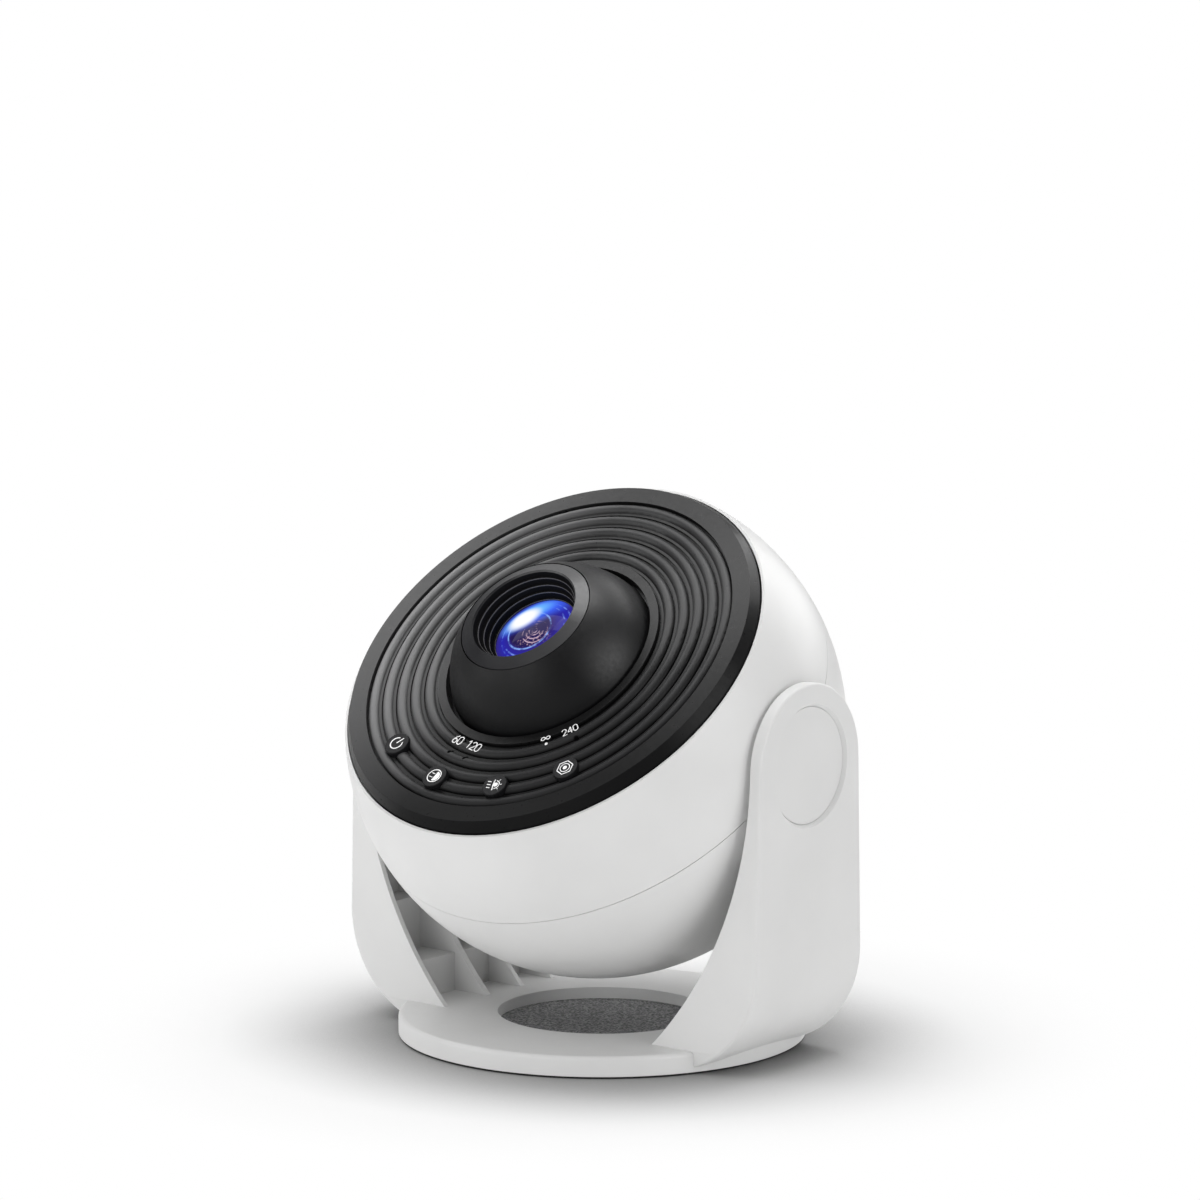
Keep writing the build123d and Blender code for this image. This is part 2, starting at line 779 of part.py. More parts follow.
with BuildPart() as rear_shell:
    back_arc = -pi / 4
    with BuildSketch(head_side):
        with BuildLine():
            ThreePointArc(
                (head_radius, seam),
                (head_radius * cos(back_arc), seam + head_radius * sin(back_arc)),
                (0, seam - head_radius),
            )
            Line((0, seam - head_radius), (0, seam - inner_ball))
            ThreePointArc(
                (0, seam - inner_ball),
                (inner_ball * cos(back_arc), seam + inner_ball * sin(back_arc)),
                (inner_ball, seam),
            )
            Line((inner_ball, seam), (head_radius, seam))
        make_face()
    revolve(axis=lens_axis)
    # Fine groove that shows as the line between the halves.
    groove_floor = head_radius - seam_groove_depth
    groove = ring(groove_floor, head_radius + side_gap, seam - seam_groove_width, seam)
    turned(groove, mode=Mode.SUBTRACT)
    # Lip that centres the front half.
    lip_outer = inner_ball - seam_lip_gap
    lip_inner = lip_outer - seam_lip_width
    lip_root = (inner_ball + head_radius) / 2
    turned([
        (lip_inner, seam - seam_lip_root),
        (lip_root, seam - seam_lip_root),
        (lip_root, seam),
        (lip_outer, seam),
        (lip_outer, seam + seam_lip_height),
        (lip_inner, seam + seam_lip_height),
    ])
    cut_sides(0)
    # Pivot bosses, each with a pocket for the arm's boss and a threaded hole.
    for side in (1, -1):
        boss_plane = sideways(side, head_boss_inner)
        rod(boss_plane, head_boss_radius, head_boss_depth)
        rod(boss_plane, thread_radius + part_gap, head_boss_depth, Mode.SUBTRACT)
        pocket_plane = boss_plane.offset(head_pocket_end - head_boss_inner)
        rod(pocket_plane, head_pocket_radius, head_radius - head_pocket_end, Mode.SUBTRACT)
    # Posts for the main board.
    post_depth = main_board_level - board_post_end
    rods(level(board_post_end), board_screw_ring, board_post_radius, post_depth)
    rods(level(main_board_level), board_screw_ring, screw_hole, -screw_bite, Mode.SUBTRACT)
    # Ring of cooling slots.
    with BuildSketch(level(ball_back)):
        with PolarLocations(vent_ring_radius, vent_count):
            SlotOverall(vent_length, vent_width)
    extrude(amount=head_radius / 2, mode=Mode.SUBTRACT)
    # Recess and slot for the power inlet.
    rod(level(inlet_mouth), inlet_recess_radius, -inlet_recess_depth, Mode.SUBTRACT)
    with BuildSketch(level(inlet_mouth)):
        SlotOverall(inlet_width + 2 * side_gap, inlet_height + 2 * side_gap)
    extrude(amount=shell_wall, mode=Mode.SUBTRACT)
pieces["rear_shell"] = rear_shell

# ---------------------------------------------------------------- ridged front disc

with BuildPart() as bezel:
    with BuildSketch(head_side):
        with BuildLine():
            path = [(bezel_opening, bezel_back), (bezel_opening, bezel_face), (ridge_start, bezel_face)]
            Polyline(*path)
            corner = path[-1]
            for ridge in range(ridge_count):
                low = bezel_face - ridge_height
                groove_in = ridge_start + ridge * ridge_pitch
                groove_out = groove_in + groove_width
                ridge_in = groove_out + ridge_flat
                ridge_out = groove_in + ridge_pitch
                Polyline(
                    corner,
                    (groove_in, low - groove_depth),
                    (groove_out, low - groove_depth),
                    (groove_out, low),
                    (ridge_in, low),
                )
                ThreePointArc((ridge_in, low), ((ridge_in + ridge_out) / 2, bezel_face), (ridge_out, low))
                corner = (ridge_out, low)
            last = ridge_start + ridge_count * ridge_pitch
            skirt_inner = bezel_radius - bezel_skirt_wall
            Polyline(
                corner,
                (last, low - groove_depth),
                (last + groove_width, low - groove_depth),
                (last + groove_width, bezel_face),
                (bezel_face_radius, bezel_face),
                (bezel_radius, bezel_face - bezel_flare_height),
                (bezel_radius, ledge_level),
                (skirt_inner, ledge_level),
                (skirt_inner, bezel_back),
                (bezel_opening, bezel_back),
            )
        make_face()
    revolve(axis=lens_axis)
    # Screw posts down to the chassis.
    post_length = bezel_back - chassis_front
    rods(level(chassis_front), bezel_screw_ring, screw_post_radius, post_length)
    rods(level(chassis_front), bezel_screw_ring, screw_hole, screw_bite, Mode.SUBTRACT)
    # Holes for the buttons and the lights.
    first_button = -90 - button_spacing * 1.5
    with BuildSketch(level(bezel_back)):
        for number in range(len(button_names)):
            with PolarLocations(button_circle, 1, start_angle=first_button + number * button_spacing):
                Circle(button_radius + run_fit)
        for angle in slot_angles:
            with PolarLocations(slot_circle, 1, start_angle=angle):
                SlotOverall(slot_length, slot_width)
        with PolarLocations(window_circle, 1, start_angle=window_angle):
            Circle(window_radius)
    extrude(amount=bezel_plate, mode=Mode.SUBTRACT)
pieces["bezel"] = bezel

with BuildPart() as indicator_windows:
    window_height = bezel_plate - ridge_height - window_depth
    with BuildSketch(level(bezel_back)):
        for angle in slot_angles:
            with PolarLocations(slot_circle, 1, start_angle=angle):
                SlotOverall(slot_length - 2 * part_gap, slot_width - 2 * part_gap)
        with PolarLocations(window_circle, 1, start_angle=window_angle):
            Circle(window_radius - part_gap)
    extrude(amount=window_height)
pieces["indicator_windows"] = indicator_windows

# ---------------------------------------------------------------- buttons and their board

button_rim_front = bezel_back - side_gap
button_rim_back = button_rim_front - button_rim_thickness
for number, name in enumerate(button_names):
    with BuildPart() as button:
        angle = first_button + number * button_spacing
        top = bezel_face + button_rise
        with BuildSketch(level(button_rim_back)):
            with PolarLocations(button_circle, 1, start_angle=angle):
                Circle(button_radius)
        extrude(amount=top - button_rim_back)
        fillet(button.edges().sort_by(lens_axis)[-1], button_edge_round)
        with BuildSketch(level(button_rim_back)):
            with PolarLocations(button_circle, 1, start_angle=angle):
                Circle(button_radius + button_rim)
        extrude(amount=button_rim_thickness)
    pieces[name] = button

with BuildPart() as button_board:
    turned(ring(board_inner_radius, board_outer_radius, board_level, board_front))
    post_hole = screw_post_radius + screw_hole_gap
    rods(level(board_level), bezel_screw_ring, post_hole, board_thickness, Mode.SUBTRACT)
pieces["button_board"] = button_board

with BuildPart() as tact_switches:
    with BuildSketch(level(board_front)):
        for number in range(len(button_names)):
            with PolarLocations(button_circle, 1, start_angle=first_button + number * button_spacing):
                Rectangle(switch_size, switch_size)
    extrude(amount=switch_height)
    with BuildSketch(level(board_front + switch_height)):
        for number in range(len(button_names)):
            with PolarLocations(button_circle, 1, start_angle=first_button + number * button_spacing):
                Circle(plunger_radius)
    extrude(amount=button_rim_back - button_travel - plunger_gap - board_front - switch_height)
pieces["tact_switches"] = tact_switches

# ---------------------------------------------------------------- focus ring and lens barrel


def dome_reach(radius, height):
    """Radius of the dome at a level, for its outer or inner ball."""
    return sqrt(radius**2 - (height - dome_centre) ** 2)


with BuildPart() as focus_ring:
    inner_dome = dome_ball - dome_wall
    inner_top = dome_centre + sqrt(inner_dome**2 - dome_hole**2)
    low_mid = (dome_base_level + web_back) / 2
    high_mid = (sleeve_front + inner_top) / 2
    outer_mid = (dome_base_level + dome_top) / 2
    with BuildSketch(head_side):
        with BuildLine():
            Polyline(
                (sleeve_radius, sleeve_front),
                (sleeve_radius, sleeve_back),
                (sleeve_outer, sleeve_back),
                (sleeve_outer, web_back),
                (dome_reach(inner_dome, web_back), web_back),
            )
            ThreePointArc(
                (dome_reach(inner_dome, web_back), web_back),
                (dome_reach(inner_dome, low_mid), low_mid),
                (dome_reach(inner_dome, dome_base_level), dome_base_level),
            )
            Polyline(
                (dome_reach(inner_dome, dome_base_level), dome_base_level),
                (dome_radius - dome_wall, flange_back),
                (flange_radius, flange_back),
                (flange_radius, flange_front),
                (dome_radius, flange_front),
                (dome_radius, dome_base_level),
            )
            ThreePointArc(
                (dome_radius, dome_base_level),
                (dome_reach(dome_ball, outer_mid), outer_mid),
                (dome_hole, dome_top),
            )
            Line((dome_hole, dome_top), (dome_hole, inner_top))
            ThreePointArc(
                (dome_hole, inner_top),
                (dome_reach(inner_dome, high_mid), high_mid),
                (dome_reach(inner_dome, sleeve_front), sleeve_front),
            )
            Line((dome_reach(inner_dome, sleeve_front), sleeve_front), (sleeve_radius, sleeve_front))
        make_face()
    revolve(axis=lens_axis)
pieces["focus_ring"] = focus_ring

with BuildPart() as lens_tube:
    steps = [
        (barrel_rim_radius + baffle_chamfer, barrel_front),
        (barrel_rim_radius, barrel_front - baffle_chamfer),
        (barrel_rim_radius, barrel_front - baffle_step_height),
    ]
    for step in range(1, baffle_steps):
        step_radius = barrel_rim_radius - step * baffle_step_width
        step_top = barrel_front - step * baffle_step_height
        steps.append((step_radius, step_top))
        steps.append((step_radius, step_top - baffle_step_height))
    turned([
        (barrel_head_radius, dome_top),
        *steps,
        (lens_mouth, baffle_floor),
        (lens_mouth, lens_seat),
        (lens_bore, lens_seat),
        (lens_bore, barrel_back),
        (barrel_radius, barrel_back),
        (barrel_radius, dome_top - barrel_head_depth + barrel_rim_drop),
        (barrel_head_radius, dome_top - barrel_head_depth + barrel_rim_drop),
    ])
    # Slots that ride on the chassis keys.
    slot_floor = key_tip - side_gap
    key_slot_length = key_zone_front + side_gap + focus_travel - barrel_back
    with BuildSketch(level(barrel_back)):
        with PolarLocations((slot_floor + barrel_radius) / 2, key_count):
            Rectangle(barrel_radius - slot_floor + key_slot_margin, key_width + 2 * run_fit)
    extrude(amount=key_slot_length, mode=Mode.SUBTRACT)
pieces["lens_tube"] = lens_tube


def lens(radius, back, edge, dome, front_rise, back_rise):
    """Round glass with a flat edge band and domes in front and behind."""

    def dome_height(rise, distance):
        curve = (dome**2 + rise**2) / (2 * rise)
        return sqrt(curve**2 - distance**2) - (curve - rise)

    front = back + edge
    with BuildSketch(head_side) as section:
        with BuildLine():
            front_middle = (dome / 2, front + dome_height(front_rise, dome / 2))
            ThreePointArc((0, front + front_rise), front_middle, (dome, front))
            Polyline((dome, front), (radius, front), (radius, back), (dome, back))
            if back_rise:
                back_middle = (dome / 2, back - dome_height(back_rise, dome / 2))
                ThreePointArc((dome, back), back_middle, (0, back - back_rise))
            else:
                Line((dome, back), (0, back))
            Line((0, back - back_rise), (0, front + front_rise))
        make_face()
    revolve(section.sketch, axis=lens_axis)


with BuildPart() as front_lens:
    lens(lens_radius, spacer_front, front_lens_edge, lens_mouth - side_gap, front_lens_rise, 0)
pieces["front_lens"] = front_lens

lens_ring_inner = lens_radius - lens_ring_wall

with BuildPart() as lens_spacer:
    turned(ring(lens_ring_inner, lens_radius, rear_lens_front, spacer_front))
pieces["lens_spacer"] = lens_spacer

with BuildPart() as rear_lens:
    rear_dome = lens_ring_inner - side_gap
    lens(lens_radius, lock_ring_front, rear_lens_edge, rear_dome, rear_lens_rise, rear_lens_rise)
pieces["rear_lens"] = rear_lens

with BuildPart() as lens_lock_ring:
    lock_ring_back = lock_ring_front - lock_ring_thickness
    turned(ring(lens_ring_inner, lens_radius, lock_ring_back, lock_ring_front))
pieces["lens_lock_ring"] = lens_lock_ring

# ---------------------------------------------------------------- chassis

with BuildPart() as chassis:
    film_bore = film_hub_radius + run_fit
    turned([
        (film_bore, chassis_tube_back),
        (chassis_tube_outer, chassis_tube_back),
        (chassis_tube_outer, chassis_level),
        (chassis_radius, chassis_level),
        (chassis_radius, chassis_front),
        (chassis_tube_outer, chassis_front),
        (chassis_tube_outer, chassis_tube_front),
        (chassis_bore, chassis_tube_front),
        (chassis_bore, key_zone_front),
        (key_bore, key_zone_front),
        (key_bore, key_zone_back),
        (film_bore, key_zone_back),
    ])
    # Keys that stop the lens barrel from turning.
    with BuildSketch(level(key_zone_back)):
        with PolarLocations((key_tip + film_bore) / 2, key_count):
            Rectangle(film_bore - key_tip, key_width)
    extrude(amount=key_length)
    # Seat for the button board, posts for the lamp housing.
    seat_inner = board_seat_radius - board_seat_width / 2
    turned(ring(seat_inner, seat_inner + board_seat_width, chassis_front, board_level))
    post_length = chassis_level - lamp_front
    rods(level(lamp_front), lamp_screw_ring, lamp_post_radius, post_length)
    rods(level(lamp_front), lamp_screw_ring, screw_hole, screw_bite, Mode.SUBTRACT)
    # Screw holes to the shell and the front disc.
    rods(level(chassis_level), shell_screw_ring, screw_clear_hole, chassis_plate, Mode.SUBTRACT)
    rods(level(chassis_level), bezel_screw_ring, screw_clear_hole, chassis_plate, Mode.SUBTRACT)
pieces["chassis"] = chassis

with BuildPart() as chassis_screws:
    screws(chassis_level, shell_screw_ring, ledge_back - chassis_level)
pieces["chassis_screws"] = chassis_screws

with BuildPart() as bezel_screws:
    screws(chassis_level, bezel_screw_ring, chassis_plate + screw_bite)
pieces["bezel_screws"] = bezel_screws

# ---------------------------------------------------------------- film wheel and motor


def gear_outline(teeth, first_tooth):
    """Straight-flanked teeth about the sketch's origin, the first tooth at this angle."""
    pitch_radius = teeth * gear_module / 2
    tip = pitch_radius + gear_addendum * gear_module
    root = pitch_radius - gear_dedendum * gear_module
    half_tooth = pi * gear_module / 4 - gear_backlash / 2
    slope = sin(radians(gear_flank)) / cos(radians(gear_flank))
    half_tip = (half_tooth - gear_addendum * gear_module * slope) / tip
    half_root = (half_tooth + gear_dedendum * gear_module * slope) / root
    points = []
    for tooth in range(teeth):
        middle = radians(first_tooth) + tooth * 2 * pi / teeth
        for radius, turn in ((root, -half_root), (tip, -half_tip), (tip, half_tip), (root, half_root)):
            points.append((radius * cos(middle + turn), radius * sin(middle + turn)))
    return points


with BuildPart() as film_carrier:
    with BuildSketch(level(film_gear_back)):
        with BuildLine():
            Polyline(*gear_outline(film_teeth, motor_angle), close=True)
        make_face()
    extrude(amount=gear_thickness)
    turned(ring(0, film_hub_radius, film_gear_front, film_wheel_front))
    turned(ring(0, film_window, film_gear_back, film_wheel_front), mode=Mode.SUBTRACT)
    turned(ring(0, film_radius + part_gap, film_seat, film_wheel_front), mode=Mode.SUBTRACT)
pieces["film_carrier"] = film_carrier

with BuildPart() as film_disc:
    turned(ring(0, film_radius, film_seat, film_front))
pieces["film_disc"] = film_disc

with BuildPart() as film_clip:
    turned(ring(film_window, film_radius, film_front, film_front + film_clip_thickness))
pieces["film_clip"] = film_clip


def motor_level(height):
    """Plane square to the motor's axis, this far along the lens axis."""
    centre = level(height).from_local_coords(
        Vector(gear_spread * cos(radians(motor_angle)), gear_spread * sin(radians(motor_angle)))
    )
    return Plane(origin=centre, x_dir=(1, 0, 0), z_dir=lens_dir)


with BuildPart() as motor_pinion:
    gap_angle = motor_angle + 180 + 180 / pinion_teeth
    with BuildSketch(motor_level(film_gear_back)):
        with BuildLine():
            Polyline(*gear_outline(pinion_teeth, gap_angle), close=True)
        make_face()
    extrude(amount=gear_thickness)
    shaft_start = lamp_flange_back - shaft_depth
    rod(motor_level(shaft_start), shaft_radius, film_gear_back - shaft_start)
pieces["motor_pinion"] = motor_pinion

with BuildPart() as gear_motor:
    rod(motor_level(lamp_flange_back), motor_radius, -motor_length)
    rod(motor_level(lamp_flange_back), shaft_radius + pivot_gap, -shaft_depth - side_gap, Mode.SUBTRACT)
pieces["gear_motor"] = gear_motor

# ---------------------------------------------------------------- lamp

with BuildPart() as lamp_housing:
    condenser_bore = condenser_radius + part_gap
    lamp_throat = led_board_radius + side_gap
    turned([
        (condenser_bore, lamp_front),
        (lamp_flange_radius, lamp_front),
        (lamp_flange_radius, lamp_flange_back),
        (lamp_tube_radius, lamp_flange_back),
        (lamp_tube_radius, lamp_back),
        (lamp_foot_radius, lamp_back),
        (lamp_foot_radius, sink_front),
        (lamp_throat, sink_front),
        (condenser_dome, condenser_level),
        (condenser_bore, condenser_level),
    ])
    # Cup and shaft hole for the motor.
    rod(motor_level(lamp_flange_back), motor_radius + motor_cup_wall, -motor_cup_depth)
    rod(motor_level(lamp_flange_back), motor_radius + part_gap, -motor_cup_depth, Mode.SUBTRACT)
    rod(motor_level(lamp_flange_back), shaft_radius + side_gap, lamp_flange_thickness, Mode.SUBTRACT)
    rods(level(lamp_flange_back), lamp_screw_ring, screw_clear_hole, lamp_flange_thickness, Mode.SUBTRACT)
    rods(level(sink_front), sink_screw_ring, screw_clear_hole, lamp_foot_thickness, Mode.SUBTRACT)
pieces["lamp_housing"] = lamp_housing

with BuildPart() as lamp_screws:
    screws(lamp_flange_back, lamp_screw_ring, lamp_flange_thickness + screw_bite)
pieces["lamp_screws"] = lamp_screws

with BuildPart() as condenser_lens:
    lens(condenser_radius, condenser_level, condenser_edge, condenser_dome, condenser_rise, 0)
pieces["condenser_lens"] = condenser_lens

with BuildPart() as condenser_clip:
    clip_inner = condenser_dome + side_gap
    turned(ring(clip_inner, condenser_radius, condenser_top, condenser_top + condenser_clip_height))
pieces["condenser_clip"] = condenser_clip

with BuildPart() as led_board:
    board_top = sink_front + led_board_thickness
    turned(ring(0, led_board_radius, sink_front, board_top))
    with BuildSketch(level(board_top)):
        Rectangle(led_chip, led_chip)
    extrude(amount=led_chip_height)
pieces["led_board"] = led_board

with BuildPart() as heat_sink:
    turned(ring(0, sink_radius, sink_back, sink_front))
    with BuildSketch(level(sink_back)):
        with GridLocations(sink_fin_pitch, 0, sink_fin_count, 1):
            Rectangle(sink_fin_thickness, 2 * sink_radius)
        Circle(sink_radius, mode=Mode.INTERSECT)
    extrude(amount=-sink_fin_length)
    rods(level(sink_back), sink_screw_ring, screw_hole, sink_base, Mode.SUBTRACT)
pieces["heat_sink"] = heat_sink

with BuildPart() as heat_sink_screws:
    screws(lamp_back, sink_screw_ring, -lamp_foot_thickness - sink_base)
pieces["heat_sink_screws"] = heat_sink_screws

# ---------------------------------------------------------------- main board

with BuildPart() as main_board:
    turned(ring(0, main_board_radius, main_board_level, main_board_level + board_thickness))
    rods(level(main_board_level), board_screw_ring, screw_clear_hole, board_thickness, Mode.SUBTRACT)
pieces["main_board"] = main_board

with BuildPart() as main_board_screws:
    screws(main_board_level + board_thickness, board_screw_ring, part_gap - board_thickness - screw_bite)
pieces["main_board_screws"] = main_board_screws

with BuildPart() as power_inlet:
    with BuildSketch(level(inlet_mouth)):
        SlotOverall(inlet_width, inlet_height)
    extrude(amount=main_board_level - inlet_mouth)
    with BuildSketch(level(inlet_mouth)):
        SlotOverall(inlet_width - 2 * inlet_wall, inlet_height - 2 * inlet_wall)
        Rectangle(inlet_tongue_width, inlet_tongue_height, mode=Mode.SUBTRACT)
    extrude(amount=inlet_pocket, mode=Mode.SUBTRACT)
pieces["power_inlet"] = power_inlet


os.makedirs("parts", exist_ok=True)
for label, piece in pieces.items():
    piece.part.label = label
    export_step(piece.part, f"parts/{label}.step")
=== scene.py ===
"""Looks of the planetarium projector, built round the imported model. Metres, Z up, -Y front."""

import json
from functools import reduce
from math import cos, pi, radians, sin

import bpy
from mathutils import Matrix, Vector
from mathutils.bvhtree import BVHTree


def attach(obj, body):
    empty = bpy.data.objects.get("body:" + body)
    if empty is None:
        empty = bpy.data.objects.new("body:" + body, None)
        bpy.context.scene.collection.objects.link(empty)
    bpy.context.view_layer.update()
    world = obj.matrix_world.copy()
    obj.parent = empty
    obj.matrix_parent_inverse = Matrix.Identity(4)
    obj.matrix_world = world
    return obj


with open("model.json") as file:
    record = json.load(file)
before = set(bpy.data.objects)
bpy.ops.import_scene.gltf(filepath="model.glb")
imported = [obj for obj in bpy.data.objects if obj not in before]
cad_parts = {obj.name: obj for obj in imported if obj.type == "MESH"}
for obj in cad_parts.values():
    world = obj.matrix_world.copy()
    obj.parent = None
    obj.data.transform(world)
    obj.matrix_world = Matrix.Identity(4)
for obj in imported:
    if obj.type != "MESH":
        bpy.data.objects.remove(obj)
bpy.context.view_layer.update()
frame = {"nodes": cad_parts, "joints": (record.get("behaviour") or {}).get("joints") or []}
nodes = frame["nodes"]
joints = {joint["name"]: joint for joint in frame["joints"]}

MM = 0.001

# The head's pivot and its own axes at rest: out through the lens, across, and up along the front disc.
PIVOT = Vector(joints["head_tilt"]["pos_m"])
LENS = Vector(joints["focus_slide"]["axis"]).normalized()
ACROSS = -Vector(joints["head_tilt"]["axis"])
FACE_UP = LENS.cross(ACROSS)


def face_point(x, y, height):
    """Point from its place on the front disc and its height along the lens axis, in mm from the pivot."""
    return PIVOT + (ACROSS * x + FACE_UP * y + LENS * height) * MM


def reach_of(name):
    """How far a node reaches from the pivot along the lens axis, in mm."""
    return max((vertex.co - PIVOT).dot(LENS) for vertex in nodes[name].data.vertices) / MM


DISC_FACE = reach_of("bezel")
BUTTON_TOP = reach_of("button_power")
BARREL_FRONT = reach_of("lens_tube")


# ---------------------------------------------------------------- node trees

MIX_SLOTS = (0, 6, 7)  # share, first and second colour of a colour mix
MIX_RESULT = 2
QUARTER_TURN = 0.25
BEVEL_SAMPLES = 6
NOISE_LOW, NOISE_HIGH = 0.3, 0.7  # most of a noise lies between these
HOOP_CORE = 0.3  # share of a hoop's width that is at full strength


class NodeNet:
    """Node tree with short ways to add and join nodes; a value is a socket or plain numbers."""

    def __init__(self, tree):
        self.tree = tree

    def node(self, kind, **inputs):
        made = self.tree.nodes.new(kind)
        for name, value in inputs.items():
            made.inputs[name.replace("_", " ")].default_value = value
        return made

    def join(self, source, target):
        self.tree.links.new(source, target)

    def fill(self, slots, values):
        """Joins or sets each slot to its value."""
        for slot, value in zip(slots, values):
            if isinstance(value, bpy.types.NodeSocket):
                self.join(value, slot)
            else:
                slot.default_value = value

    def math(self, kind, *values):
        made = self.node("ShaderNodeMath")
        made.operation = kind
        self.fill(made.inputs, values)
        return made.outputs[0]

    def vector(self, kind, *values):
        made = self.node("ShaderNodeVectorMath")
        made.operation = kind
        self.fill(made.inputs, values)
        return made.outputs["Value" if kind in ("DOT_PRODUCT", "LENGTH") else "Vector"]

    def span(self, value, low, high, to_low=0.0, to_high=1.0, clamp=True, smooth=False):
        """Value carried over from one span to another."""
        made = self.node("ShaderNodeMapRange", From_Min=low, From_Max=high, To_Min=to_low, To_Max=to_high)
        made.clamp = clamp
        if smooth:
            made.interpolation_type = "SMOOTHSTEP"
        self.join(value, made.inputs["Value"])
        return made.outputs["Result"]

    def fade(self, value, start, end):
        """1 up to the start, 0 from the end."""
        return self.span(value, start, end, 1.0, 0.0, smooth=True)

    def band(self, value, low, high, soft):
        """1 between two values, 0 outside them, over soft borders."""
        return self.math("SUBTRACT", self.fade(value, high - soft, high + soft),
                         self.fade(value, low - soft, low + soft))

    def ramp(self, value, *stops):
        """Colour that runs through stops, each a place from 0 to 1 and a colour."""
        made = self.node("ShaderNodeValToRGB")
        items = made.color_ramp.elements
        while len(items) < len(stops):
            items.new(0.5)
        for item, (place, color) in zip(items, stops):
            item.position = place
            item.color = (*color, 1)
        self.join(value, made.inputs["Fac"])
        return made.outputs["Color"]

    def mix(self, share, first, second):
        """Colour between two colours."""
        made = self.node("ShaderNodeMix")
        made.data_type = "RGBA"
        colors = [(*color, 1) if isinstance(color, tuple) else color for color in (first, second)]
        self.fill([made.inputs[slot] for slot in MIX_SLOTS], [share, *colors])
        return made.outputs[MIX_RESULT]

    def scaled(self, color, share):
        """Colour times a number."""
        made = self.node("ShaderNodeVectorMath")
        made.operation = "SCALE"
        self.fill((made.inputs[0], made.inputs["Scale"]), (color, share))
        return made.outputs[0]

    def blot(self, place, middle, halves, turn, soft):
        """1 inside an ellipse, 0 outside, over a soft edge."""
        fit = self.node("ShaderNodeMapping", Location=(*middle, 0), Rotation=(0, 0, radians(turn)),
                        Scale=(*halves, 1))
        fit.vector_type = "TEXTURE"
        self.join(place, fit.inputs["Vector"])
        return self.fade(self.vector("LENGTH", fit.outputs["Vector"]), 1 - soft, 1 + soft)

    def hoop(self, place, middle, radius, width):
        """1 on a thin circle."""
        reach = self.vector("LENGTH", self.vector("SUBTRACT", place, (*middle, 0)))
        off = self.math("ABSOLUTE", self.math("SUBTRACT", reach, radius))
        return self.fade(off, width * HOOP_CORE, width)


